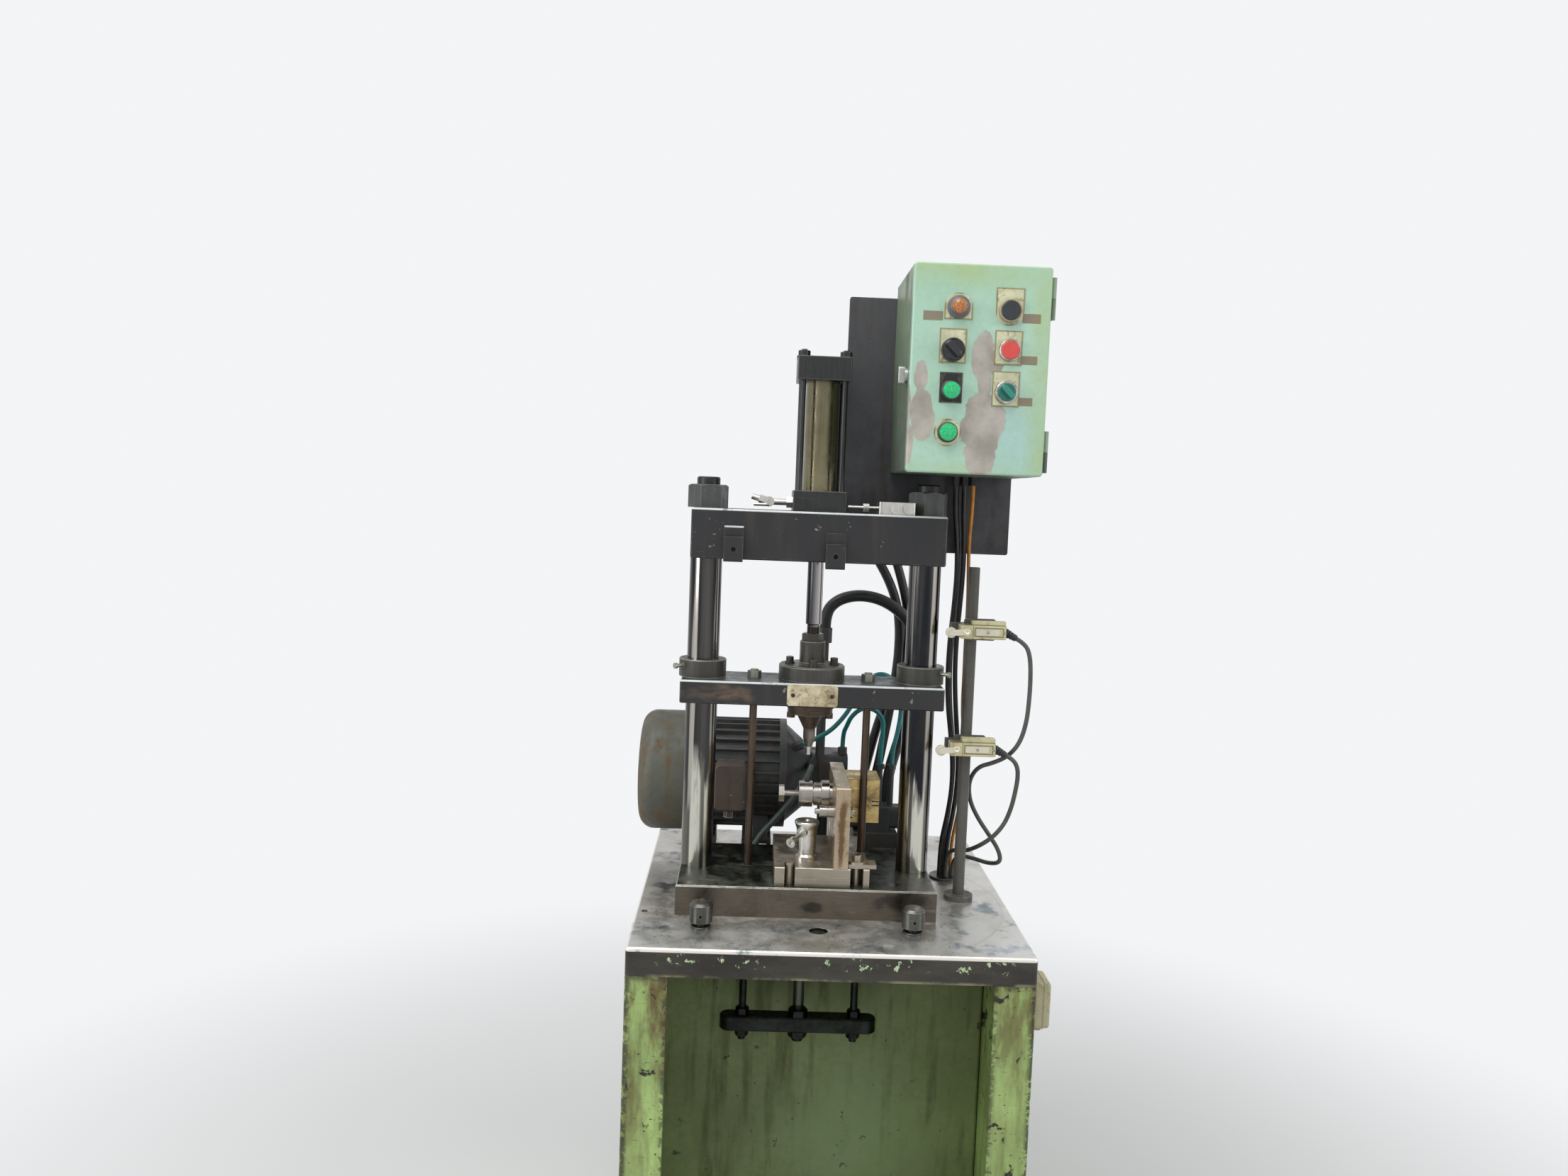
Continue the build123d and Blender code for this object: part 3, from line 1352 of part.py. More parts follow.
# Fixture fasteners: stud in the left slot, strap with washer and screw over the right slot, pin nut
strap_y = fixture_front + strap_from_edge
strap_top_z = fixture_top_z + strap_thickness
with BuildPart() as fixture_fasteners:
    with BuildSketch(Plane.XY.offset(base_top_z)):
        with Locations((slot_places[0][0], strap_y)):
            Circle(stud_diameter / 2)
    extrude(amount=fixture_thickness + stud_end)
    with BuildSketch(Plane.XY.offset(fixture_top_z)):
        with Locations((slot_places[1][0] + strap_shift, strap_y + strap_back)):
            Rectangle(strap_length, strap_width)
        with Locations((slot_places[1][0], strap_y)):
            Circle(strap_screw / 2 + fit_gap, mode=Mode.SUBTRACT)
    extrude(amount=strap_thickness)
    with BuildSketch(Plane.XY.offset(strap_top_z)):
        with Locations((slot_places[1][0], strap_y)):
            Circle(strap_washer_diameter / 2)
            Circle(strap_screw / 2 + fit_gap, mode=Mode.SUBTRACT)
    extrude(amount=strap_washer_height)
    with Locations((slot_places[1][0], strap_y, strap_top_z + strap_washer_height)):
        add(socket_screw(strap_screw, fixture_thickness + strap_thickness + strap_washer_height))
    with Locations(Location((wall_right_x, pin_y, pin_z), (0, 90, 0))):
        add(hexagon_nut(pin_nut_flats, pin_nut_height, pin_shank_diameter + 2 * fit_gap))
write(fixture_fasteners, "fixture_fasteners")

# Switch mast: round bar with a foot and two clamps, each with a plate for its switch
mast_y = press_y
switch_back_y = mast_y - mast_diameter / 2 - switch_plate_sheet
switch_front_y = switch_back_y - switch_body_depth
switch_levels = [above_table(switch_lower_height), above_table(switch_upper_height)]
switch_lefts = [switch_lower_left, switch_upper_left]
with BuildPart() as switch_mast:
    with Locations((mast_x, mast_y, table_top_z)):
        Cylinder(mast_foot_diameter / 2, mast_foot_height, align=(Align.CENTER, Align.CENTER, Align.MIN))
        Cylinder(mast_diameter / 2, mast_top, align=(Align.CENTER, Align.CENTER, Align.MIN))
    chamfer(switch_mast.edges().group_by(Axis.Z)[-1], small_bevel)
    for level, left in zip(switch_levels, switch_lefts):
        with BuildSketch(Plane.XY.offset(level - clamp_height / 2 + 1)):
            with Locations((mast_x, mast_y)):
                RectangleRounded(clamp_width, clamp_depth, 5)
                with Locations((small_corner - clamp_width / 2 - 10, 0)):
                    Rectangle(clamp_width / 2 + 7, clamp_jaw_width)
        extrude(amount=clamp_height)
        with BuildSketch(Plane.XZ.offset(-switch_back_y)):
            with Locations((left + switch_plate_shift, level + 2)):
                RectangleRounded(switch_plate_width, switch_plate_height, 4)
        extrude(amount=-switch_plate_sheet)
write(switch_mast, "switch_mast")

# Switch bodies: moulded cases with a raised face, a cap and a ribbed gland at the right end
gland_way = Vector(math.cos(math.radians(gland_slope)), 0, -math.sin(math.radians(gland_slope)))
with BuildPart() as switch_body:
    with BuildSketch(Plane.XZ):
        with Locations((switch_body_length / 2, 0)):
            RectangleRounded(switch_body_length, switch_body_height, small_corner)
    extrude(amount=switch_body_depth)
    fillet(switch_body.faces().sort_by(Axis.Y)[0].edges(), 1.5)
    with BuildSketch(Plane.XZ.offset(small_corner)):
        with Locations((switch_body_length / 2 + 9, switch_body_height / 2)):
            Rectangle(switch_body_length - 20, 2 * switch_cap_height)
    extrude(amount=switch_body_depth - 2 * small_corner)
    with BuildSketch(Plane.XZ.offset(switch_body_depth)):
        with Locations((switch_body_length * 0.62, 0)):
            RectangleRounded(switch_body_length * 0.62, switch_body_height * 0.6, 1.5)
    extrude(amount=-1, mode=Mode.SUBTRACT)
    with BuildSketch(Plane.XZ.offset(switch_body_depth)):
        with Locations((lever_inset, 0)):
            Circle(roller_pin / 2 + running_gap)
    extrude(amount=-(lever_pivot_depth + 2), mode=Mode.SUBTRACT)
    gland_foot = Vector(switch_body_length - 4, -switch_body_depth / 2, 2)
    with BuildSketch(Plane(origin=gland_foot, z_dir=gland_way)):
        Circle(switch_gland_diameter / 2)
    extrude(amount=gland_length)
    for rib in range(4):
        rib_place = gland_foot + gland_way * (switch_gland_diameter / 2 + gland_rib_spacing * rib)
        with BuildSketch(Plane(origin=rib_place, z_dir=gland_way)):
            Circle(switch_gland_diameter / 2 + 2 - 0.5 * rib)
        extrude(amount=gland_rib_width)
with BuildPart() as switch_bodies:
    with Locations(*[(left, switch_back_y, level) for level, left in zip(switch_levels, switch_lefts)]):
        add(switch_body.part)
write(switch_bodies, "switch_bodies")

# Roller levers: a pivot shaft in the switch, a plate in front of it and a pin that holds the roller
lever_y = switch_front_y - moving_gap
lever_places = []
for level, left, drop in zip(switch_levels, switch_lefts, (roller_lower_drop, roller_upper_drop)):
    pivot_x = left + lever_inset
    lever_places.append((pivot_x, pivot_x - lever_arm, level, level - drop))


def roller_lever(pivot_x, roller_x, pivot_z, roller_z):
    """One lever from its pivot and roller centres."""
    with BuildPart() as lever:
        with BuildSketch(Plane.XZ.offset(-lever_y)):
            with BuildLine():
                Line((pivot_x, pivot_z), (roller_x, roller_z))
            trace(line_width=lever_width)
            with Locations((pivot_x, pivot_z)):
                Circle(lever_boss_diameter / 2)
            with Locations((roller_x, roller_z)):
                Circle(lever_width / 2)
        extrude(amount=lever_sheet)
        with BuildSketch(Plane.XZ.offset(-lever_y)):
            with Locations((pivot_x, pivot_z)):
                Circle(roller_pin / 2)
        extrude(amount=-lever_pivot_depth)
        with BuildSketch(Plane.XZ.offset(-lever_y)):
            with Locations((roller_x, roller_z)):
                Circle(roller_pin / 2)
        extrude(amount=-(roller_width + 2 * moving_gap))
        with BuildSketch(Plane.XZ.offset(-(lever_y + roller_width + 2 * moving_gap))):
            with Locations((roller_x, roller_z)):
                Circle(roller_rivet_diameter / 2)
        extrude(amount=-small_bevel)
    return lever


lever_lower = roller_lever(*lever_places[0])
write(lever_lower, "lever_lower")
lever_upper = roller_lever(*lever_places[1])
write(lever_upper, "lever_upper")


def roller(roller_x, roller_z):
    """One roller on its lever's pin."""
    with BuildPart() as wheel:
        with BuildSketch(Plane.XZ.offset(-(lever_y + moving_gap))):
            with Locations((roller_x, roller_z)):
                Circle(roller_diameter / 2)
                Circle(roller_pin / 2 + running_gap, mode=Mode.SUBTRACT)
        extrude(amount=-roller_width)
        chamfer(wheel.edges().filter_by(GeomType.CIRCLE).sort_by(SortBy.RADIUS)[-2:], 0.8)
    return wheel


roller_lower = roller(lever_places[0][1], lever_places[0][3])
write(roller_lower, "roller_lower")
roller_upper = roller(lever_places[1][1], lever_places[1][3])
write(roller_upper, "roller_upper")

# Carrier panel on the beam's rear face
beam_rear_y = press_y + beam_depth / 2
with BuildPart() as carrier_panel:
    with BuildSketch(Plane.XZ.offset(-beam_rear_y)):
        with Locations((carrier_left + carrier_width / 2, above_table(carrier_bottom + carrier_height / 2))):
            RectangleRounded(carrier_width, carrier_height, 4)
    extrude(amount=-carrier_sheet)
    with BuildSketch(Plane.XZ.offset(-beam_rear_y)):
        for bolt_x in (carrier_left + carrier_bolt_inset, press_x + beam_width / 2 - carrier_bolt_inset):
            with Locations((bolt_x, beam_z + beam_height / 2)):
                Circle(carrier_bolt_hole / 2)
    extrude(amount=-carrier_sheet, mode=Mode.SUBTRACT)
write(carrier_panel, "carrier_panel")

# Control box: folded shell with a front lip, mounting plate and gear
box_middle_x = box_left + box_width / 2
box_z = above_table(box_bottom)
box_middle_z = box_z + box_height / 2
door_front_y = from_front(box_front)
door_back_y = door_front_y + door_depth
shell_front_y = door_back_y + 3 * moving_gap
shell_depth = beam_rear_y - shell_front_y
hinge_x = box_left + box_width + hinge_out
hinge_y = door_front_y + door_depth / 2
hinge_levels = [box_z + height for height in hinge_heights]
hinge_leaf_end_y = shell_front_y + latch_inset
gear_plate_y = beam_rear_y - gear_plate_gap
gear_back_y = gear_plate_y - gear_plate_sheet - gear_rail_depth
with BuildPart() as control_box:
    with BuildSketch(Plane.XZ.offset(-shell_front_y)):
        with Locations((box_middle_x, box_middle_z)):
            RectangleRounded(box_width, box_height, 4)
            RectangleRounded(box_width - 2 * box_sheet, box_height - 2 * box_sheet, 2, mode=Mode.SUBTRACT)
    extrude(amount=-shell_depth)
    with BuildSketch(Plane.XZ.offset(-beam_rear_y)):
        with Locations((box_middle_x, box_middle_z)):
            RectangleRounded(box_width, box_height, 4)
    extrude(amount=box_sheet)
    with BuildSketch(Plane.XZ.offset(-shell_front_y)):
        with Locations((box_middle_x, box_middle_z)):
            RectangleRounded(box_width, box_height, 4)
            Rectangle(box_width - 2 * box_lip, box_height - 2 * box_lip, mode=Mode.SUBTRACT)
    extrude(amount=-box_sheet)
    with BuildSketch(Plane.XZ.offset(-gear_plate_y)):
        with Locations((box_middle_x, box_middle_z)):
            Rectangle(box_width - 3 * box_lip, box_height - 3 * box_lip)
    extrude(amount=gear_plate_sheet)
    with BuildSketch(Plane.XZ.offset(-gear_plate_y)):
        with Locations((box_middle_x, box_middle_z)):
            with GridLocations(box_width - 5 * box_lip, box_height - 5 * box_lip, 2, 2):
                Circle(gear_post_diameter / 2)
    extrude(amount=box_sheet - gear_plate_gap)
    with BuildSketch(Plane.XZ.offset(-(gear_plate_y - gear_plate_sheet))):
        for level in gear_levels:
            with Locations((box_middle_x, box_z + level)):
                Rectangle(box_width - 4 * box_lip, gear_rail_height)
    extrude(amount=gear_rail_depth)
    for left, level, width, height, depth in gear_blocks:
        with BuildSketch(Plane.XZ.offset(-gear_back_y)):
            with Locations((box_left + left + width / 2, box_z + level)):
                RectangleRounded(width, height, 2)
        extrude(amount=depth)
    for level in hinge_levels:
        with Locations((hinge_x, hinge_y, level)):
            Cylinder(knuckle_diameter / 2, knuckle_height, align=(Align.CENTER, Align.CENTER, Align.MAX))
        with BuildSketch(Plane.XY.offset(level - knuckle_height)):
            with Locations((hinge_x - 1.5, (hinge_y + hinge_leaf_end_y) / 2)):
                Rectangle(3, hinge_leaf_end_y - hinge_y)
        extrude(amount=knuckle_height)
        with BuildSketch(Plane.XY.offset(level - knuckle_height)):
            with Locations((hinge_x - 2.5, shell_front_y + 8)):
                Rectangle(3, 12)
        extrude(amount=knuckle_height)
        with Locations((hinge_x, hinge_y, level)):
            Cylinder(hinge_pin_diameter / 2, knuckle_height, align=(Align.CENTER, Align.CENTER, Align.MIN))
    for gland_x, gland_y in box_gland_places:
        with Locations(Location((gland_x, beam_rear_y + gland_y, box_z), (180, 0, 0))):
            add(hexagon_nut(box_gland_flats, box_gland_length))
write(control_box, "control_box")

# Door: rounded pan with holes for the controls, contact blocks behind them, hinge knuckles
control_centres = {name: (x, above_table(height)) for name, (x, height) in control_places.items()}
mover_centres = [control_centres[name] for name in cap_radii]
bezel_front_y = door_front_y - bezel_height
spacer_y = door_front_y + box_sheet
with BuildPart() as box_door:
    with BuildSketch(Plane.XZ.offset(-door_front_y)):
        with Locations((box_middle_x, box_middle_z)):
            RectangleRounded(box_width, box_height, 5)
    extrude(amount=-door_depth)
    fillet(box_door.faces().sort_by(Axis.Y)[0].edges(), small_corner)
    with BuildSketch(Plane.XZ.offset(-door_back_y)):
        with Locations((box_middle_x, box_middle_z)):
            RectangleRounded(box_width - 2 * box_sheet, box_height - 2 * box_sheet, small_corner)
    extrude(amount=door_depth - box_sheet, mode=Mode.SUBTRACT)
    with BuildSketch(Plane.XZ.offset(-door_front_y)):
        with Locations(*control_centres.values()):
            Circle(control_hole / 2)
    extrude(amount=-box_sheet, mode=Mode.SUBTRACT)
    with BuildSketch(Plane.XZ.offset(-door_front_y)):
        for name, cap_radius in cap_radii.items():
            with Locations(control_centres[name]):
                Circle(bezel_radii[name])
                Circle(cap_radius + moving_gap, mode=Mode.SUBTRACT)
    extrude(amount=bezel_height)
    bezel_edges = box_door.edges().filter_by(GeomType.CIRCLE).filter_by_position(
        Axis.Y, bezel_front_y - 0.1, bezel_front_y + 0.1)
    chamfer(bezel_edges.sort_by(SortBy.RADIUS)[-len(cap_radii):], small_bevel)
    with BuildSketch(Plane.XZ.offset(-spacer_y)):
        with Locations(*mover_centres):
            Rectangle(contact_width, contact_height)
            Circle(stem_radius + moving_gap, mode=Mode.SUBTRACT)
    extrude(amount=-contact_spacer)
    with BuildSketch(Plane.XZ.offset(-(spacer_y + contact_spacer))):
        with Locations(*mover_centres):
            Rectangle(contact_width, contact_height)
    extrude(amount=-contact_depth)
    for level in hinge_levels:
        with Locations((hinge_x, hinge_y, level + moving_gap)):
            Cylinder(knuckle_diameter / 2, knuckle_height, align=(Align.CENTER, Align.CENTER, Align.MIN))
        with BuildSketch(Plane.XY.offset(level + moving_gap)):
            with Locations((hinge_x - 3, hinge_y - 1)):
                Rectangle(6, 3)
        extrude(amount=knuckle_height)
        with Locations((hinge_x, hinge_y, level + moving_gap)):
            Cylinder(hinge_pin_diameter / 2 + running_gap, knuckle_height,
                     align=(Align.CENTER, Align.CENTER, Align.MIN), mode=Mode.SUBTRACT)
write(box_door, "box_door")

# Pilot lamps: body through the door, stepped bezel and a domed lens
lamp_body = control_hole / 2 - fit_gap
with BuildPart() as pilot_lamps:
    for name, lens in lens_radii.items():
        bezel = bezel_radii[name]
        lamp_x, lamp_z = control_centres[name]
        with Locations(Location((lamp_x, door_front_y, lamp_z), (90, 0, 0))):
            add(revolved([
                (0, -lamp_depth), (lamp_body, -lamp_depth), (lamp_body, 0), (bezel, 0), (bezel, 3),
                (bezel - small_bevel, 4), (lens + 2, 5), (lens + 2, bezel_height - 1.5),
                (lens + 0.5, bezel_height - 0.5), (lens, bezel_height - 0.5), (lens, lamp_reach - 4),
                (lens - small_bevel, lamp_reach - 2), (lens / 2, lamp_reach - 0.4), (0, lamp_reach),
            ]))
write(pilot_lamps, "pilot_lamps")

stem_back = box_sheet + contact_spacer - moving_gap


def push_button(name):
    """One push button: its stem in the door's hole and a broad cap in the bezel."""
    x, z = control_centres[name]
    radius = cap_radii[name]
    with BuildPart() as button:
        add(revolved([
            (0, button_travel - stem_back), (stem_radius, button_travel - stem_back),
            (stem_radius, button_travel + moving_gap), (radius, button_travel + moving_gap),
            (radius, bezel_height), (radius - small_bevel, bezel_height + small_bevel),
            (0, bezel_height + small_bevel),
        ]).moved(Location((x, door_front_y, z), (90, 0, 0))))
    return button


def selector(name):
    """One selector that turns in its bezel, with a bar grip."""
    x, z = control_centres[name]
    radius = cap_radii[name]
    with BuildPart() as knob:
        add(revolved([
            (0, -stem_back), (stem_radius, -stem_back), (stem_radius, moving_gap), (radius, moving_gap),
            (radius, bezel_height + small_bevel), (radius - small_bevel, bezel_height + 2 * small_bevel),
            (0, bezel_height + 2 * small_bevel),
        ]).moved(Location((x, door_front_y, z), (90, 0, 0))))
        with BuildSketch(Plane.XZ.offset(-(bezel_front_y - 2 * small_bevel))):
            with Locations((x, z)):
                SlotOverall(2 * radius - small_corner, 0.62 * radius, rotation=selector_turn)
        extrude(amount=grip_height)
        fillet(knob.faces().sort_by(Axis.Y)[0].edges(), small_bevel)
    return knob


button_black = push_button("button_black")
write(button_black, "button_black")
button_red = push_button("button_red")
write(button_red, "button_red")
selector_black = selector("selector_black")
write(selector_black, "selector_black")
selector_green = selector("selector_green")
write(selector_green, "selector_green")

# Latch: a turn grip on the left side of the shell
latch_z = above_table(latch_height)
latch_y = shell_front_y + latch_inset
latch_back_x = box_left - moving_gap
with BuildPart() as door_latch:
    with BuildSketch(Plane.YZ.offset(latch_back_x)):
        with Locations((latch_y, latch_z)):
            Circle(latch_diameter / 2)
    extrude(amount=-latch_disc_sheet)
    with BuildSketch(Plane.YZ.offset(latch_back_x - latch_disc_sheet)):
        with Locations((latch_y, latch_z)):
            SlotOverall(latch_grip_length, latch_grip_width, rotation=90)
    extrude(amount=-latch_grip_height)
    fillet(door_latch.faces().sort_by(Axis.X)[0].edges(), 1.5)
write(door_latch, "door_latch")

# Palm buttons and the guides they slide in, and the cable plug in the table
plug_radius = cable_hole / 2 - fit_gap
plug_rim_radius = cable_hole / 2 + plug_rim
with BuildPart() as table_bushes:
    for x, y in palm_places:
        with Locations((x, y, table_top_z)):
            add(revolved([
                (palm_stem / 2 + running_gap, -palm_guide_depth), (palm_guide_sleeve / 2, -palm_guide_depth),
                (palm_guide_sleeve / 2, 0), (palm_guide_flange / 2, 0),
                (palm_guide_flange / 2, palm_guide_height - small_bevel),
                (palm_guide_flange / 2 - small_bevel, palm_guide_height),
                (palm_stem / 2 + running_gap, palm_guide_height),
            ]))
        with Locations(Location((x, y, table_under_z), (180, 0, 0))):
            add(hexagon_nut(palm_guide_flange, palm_guide_nut_height, palm_guide_sleeve + 2 * fit_gap))
    with Locations((cable_hole_x, from_front(cable_hole_from_front), table_top_z)):
        add(revolved([
            (0, -table_sheet - plug_rim), (plug_radius, -table_sheet - plug_rim), (plug_radius, 0),
            (plug_rim_radius, 0), (plug_rim_radius, plug_height - small_bevel),
            (plug_rim_radius - small_bevel, plug_height), (0, plug_height),
        ]))
write(table_bushes, "table_bushes")


def palm_button(place):
    """One palm button: stem, broad cap and a small cross hole in the cap's front."""
    x, y = place
    cap_bottom = palm_guide_height + palm_travel + 0.5
    cap_top = cap_bottom + palm_height
    with BuildPart() as button:
        add(revolved([
            (0, -palm_stem_depth), (palm_stem / 2, -palm_stem_depth), (palm_stem / 2, cap_bottom),
            (palm_diameter / 2 - small_bevel, cap_bottom), (palm_diameter / 2, cap_bottom + small_bevel),
            (palm_diameter / 2, cap_top - small_corner), (palm_diameter / 2 - small_corner, cap_top),
            (0, cap_top),
        ]).moved(Location((x, y, table_top_z))))
        with BuildSketch(Plane.XZ.offset(-(y - palm_diameter / 2))):
            with Locations((x, above_table(cap_bottom + palm_hole_height))):
                Circle(palm_hole / 2)
        extrude(amount=-palm_hole_depth, mode=Mode.SUBTRACT)
    return button


palm_button_left = palm_button(palm_places[0])
write(palm_button_left, "palm_button_left")
palm_button_right = palm_button(palm_places[1])
write(palm_button_right, "palm_button_right")

# Junction box on the table's right side, with a domed lid and a gland below
junction_left = table_width / 2
junction_y = from_front(junction_from_front) + junction_depth / 2
junction_z = above_table(-junction_below_table) - junction_height / 2
with BuildPart() as junction_box:
    with BuildSketch(Plane.YZ.offset(junction_left)):
        with Locations((junction_y, junction_z)):
            RectangleRounded(junction_depth, junction_height, junction_corner)
    extrude(amount=junction_out)
    fillet(junction_box.faces().sort_by(Axis.X)[-1].edges(), 4)
    with BuildSketch(Plane.YZ.offset(junction_left + junction_out * 0.6)):
        with Locations((junction_y, junction_z)):
            RectangleRounded(junction_depth + 2, junction_height + 2, junction_corner + 1)
            RectangleRounded(junction_depth - 2, junction_height - 2, junction_corner - 1,
                             mode=Mode.SUBTRACT)
    extrude(amount=junction_seam)
    with Locations(Location((junction_left + junction_out / 2, junction_y, junction_z - junction_height / 2),
                            (180, 0, 0))):
        add(hexagon_nut(junction_gland_flats, junction_gland_length))
write(junction_box, "junction_box")

# Hoses, tubes and cables, each a route of points in the table's own measures
arch_route = [
    (riser_x, riser_from_front, riser_top + riser_nut_height - 4), (-3, 430, 436), (14, 430, 457),
    (40, 430, 467), (68, 430, 468), (96, 430, 461), (122, 430, 446), (143, 431, 425), (156, 433, 396),
    (161, 436, 362), (161, 440, 326), (157, 445, 290), (149, 450, 254), (140, 454, 220), (131, 456, 188),
    (123, 457, 156), (118, 456, 116), (118, 456, valve_height + hose_fitting_length),
]
with BuildPart() as hose_arch:
    add(tube([local(*point) for point in arch_route], 20, "hose_arch"))
write(hose_arch, "hose_arch")

port_y = press_from_front + cylinder_cap_width / 2 + hose_fitting_length
head_route = [
    (press_x, port_y, 628), (press_x, 338, 628), (-29, 376, 617), (-12, 409, 603), (12, 433, 592),
    (44, 446, 576), (72, 452, 550), (94, 454, 518), (112, 455, 484), (124, 455, 450), (129, 455, 416),
    (130, 455, 380),
    (128, 455, 340), (123, 455, 298), (117, 455, 255), (110, 455, 212), (104, 456, 172), (97, 456, 138),
    (94, 456, 106), (94, 456, valve_height + hose_fitting_length),
]
end_route = [
    (press_x, port_y, 830), (press_x, 338, 830), (-31, 374, 818), (-26, 404, 797), (-18, 428, 768),
    (-6, 444, 734), (10, 452, 698), (30, 456, 664), (53, 458, 633), (77, 460, 603), (99, 461, 571),
    (116, 461, 537),
    (128, 461, 502), (138, 462, 467), (145, 466, 432), (147, 471, 396), (142, 476, 360), (132, 479, 324),
    (120, 480, 290), (108, 480, 256), (98, 479, 222), (90, 476, 190), (82, 470, 158), (74, 462, 128),
    (70, 456, 102), (70, 456, valve_height + hose_fitting_length),
]
with BuildPart() as cylinder_hoses:
    add(tube([local(*point) for point in head_route], 16, "cylinder_hoses head"))
    add(tube([local(*point) for point in end_route], 16, "cylinder_hoses end"))
write(cylinder_hoses, "cylinder_hoses")

stub_end = stub_top + stub_nut_height
long_route = [
    (122, stub_from_front, stub_end), (122, 418, 200), (130, 419, 232), (135, 420, 268), (133, 419, 300),
    (119, 416, 326), (97, 412, 337), (75, 407, 328), (57, 402, 303), (42, 400, 271), (16, 400, 238),
    bell_tube_before, bell_tube_end,
]
short_route = [
    (102, stub_from_front, stub_end), (102, 418, 200), (104, 416, 228), (104, 413, 256), (88, 410, 274),
    (64, 410, 275), (47, 414, 258), (42, 426, 240), (37, 440, 224), (pump_tube_x, pump_tube_from_front, 199),
]
drain_route = [
    drain_tube_end, drain_tube_before, (-33, 362, 152), (-51, 352, 126), (-74, 358, 94), (-96, 364, 68),
    (-110, 368, 46), (drain_x, drain_from_front, 30), (drain_x, drain_from_front, hose_fitting_length),
]
with BuildPart() as tubes_teal:
    add(tube([local(*point) for point in long_route], 8, "tubes_teal long"))
    add(tube([local(*point) for point in short_route], 8, "tubes_teal short"))
    add(tube([local(*point) for point in drain_route], 11, "tubes_teal drain"))
write(tubes_teal, "tubes_teal")

cable_start = box_bottom - box_gland_length
front_black = [
    (188, 285, cable_start), (188, 285, 626), (196, 292, 570), (198.5, 296, 520), (197, 299, 468),
    (193, 300, 414), (192, 300, 360), (195, 302, 306), (203, 306, 256), (210, 314, 208), (213, 326, 160),
    (210, 338, 112), (204, 348, 68), (203, 352, 34), (203, 352, plug_height),
]
right_black = [
    (202, 285, cable_start), (202, 285, 626), (207, 291, 570), (208, 294, 520), (206, 296, 468),
    (203, 296, 414), (203, 296, 360), (207, 298, 306), (213, 303, 256), (219, 312, 208), (221, 325, 160),
    (219, 338, 112), (214, 348, 68), (213, 352, 34), (213, 352, plug_height),
]
rear_black = [
    (195, 301, cable_start), (195, 301, 626), (201, 303, 570), (203, 307, 520), (201, 310, 468),
    (198, 312, 414), (197, 312, 360), (200, 313, 306), (207, 317, 256), (213, 326, 208), (215, 338, 160),
    (213, 350, 112), (209, 360, 68), (208, 362, 34), (208, 362, plug_height),
]
orange_cable = [
    (216, 285, cable_start), (216, 285, 626), (214, 289, 570), (216, 289, 520), (217.5, 288, 468),
    (216.5, 288, 414), (217, 288, 360), (217, 290, 306), (222, 296, 256), (228, 308, 208), (230, 325, 160),
    (228, 342, 112), (223, 354, 68), (222, 358, 34), (222, 358, plug_height),
]
with BuildPart() as cables_control:
    add(tube([local(*point) for point in front_black], 8, "cables_control front"))
    add(tube([local(*point) for point in right_black], 8, "cables_control right"))
    add(tube([local(*point) for point in rear_black], 8, "cables_control rear"))
    add(tube([local(*point) for point in orange_cable], 6, "cables_control orange"))
write(cables_control, "cables_control")

gland_from_front = press_from_front - mast_diameter / 2 - switch_plate_sheet - switch_body_depth / 2


def gland_point(left, height, further):
    """A point on a gland's axis, some distance beyond its end."""
    reach = gland_way * (gland_length + further)
    return (left + switch_body_length - 4 + reach.X, gland_from_front, height + 2 + reach.Z)


upper_route = [
    gland_point(switch_upper_left, switch_upper_height, 0),
    gland_point(switch_upper_left, switch_upper_height, 18), (307.5, 222.5, 398), (310, 223, 366),
    (310, 224, 330), (308, 225, 294), (300, 228, 260), (284, 236, 236), (262, 247, 222), (241, 258, 213),
    (229, 266, 188), (232, 268, 156), (246, 264, 128), (265, 262, 102), (283, 262, 76), (290, 274, 52),
    (276, 299, 42), (253, 320, 44), (235, 334, 44), (223, 347, 30), (223, 347, plug_height),
]
lower_route = [
    gland_point(switch_lower_left, switch_lower_height, 0),
    gland_point(switch_lower_left, switch_lower_height, 14), (297, 222.5, 222), (298.5, 223.5, 204),
    (296, 225, 182),
    (292, 228, 156), (284, 234, 128), (270, 244, 104), (254, 258, 86), (242, 278, 72), (234, 300, 62),
    (226, 320, 58), (215, 334, 50), (212, 341, 30), (212, 341, plug_height),
]
with BuildPart() as switch_cable_upper:
    add(tube([local(*point) for point in upper_route], 7, "switch_cable_upper"))
write(switch_cable_upper, "switch_cable_upper")
with BuildPart() as switch_cable_lower:
    add(tube([local(*point) for point in lower_route], 7, "switch_cable_lower"))
write(switch_cable_lower, "switch_cable_lower")
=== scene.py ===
import bpy
import bmesh
import math
from mathutils import Matrix, Vector


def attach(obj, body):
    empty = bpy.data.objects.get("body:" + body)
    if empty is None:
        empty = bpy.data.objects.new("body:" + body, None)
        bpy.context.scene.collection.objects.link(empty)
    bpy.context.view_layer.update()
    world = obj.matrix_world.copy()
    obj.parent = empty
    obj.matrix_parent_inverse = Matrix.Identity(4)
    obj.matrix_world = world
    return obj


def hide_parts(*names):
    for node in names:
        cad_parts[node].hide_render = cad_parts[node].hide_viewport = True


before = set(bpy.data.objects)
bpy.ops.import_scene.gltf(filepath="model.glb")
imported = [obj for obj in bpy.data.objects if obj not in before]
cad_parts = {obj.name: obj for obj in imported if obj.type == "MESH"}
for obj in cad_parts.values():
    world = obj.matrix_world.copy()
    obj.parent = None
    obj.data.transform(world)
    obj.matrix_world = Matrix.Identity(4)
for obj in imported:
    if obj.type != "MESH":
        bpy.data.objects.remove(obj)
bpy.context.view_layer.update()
scene = bpy.context.scene

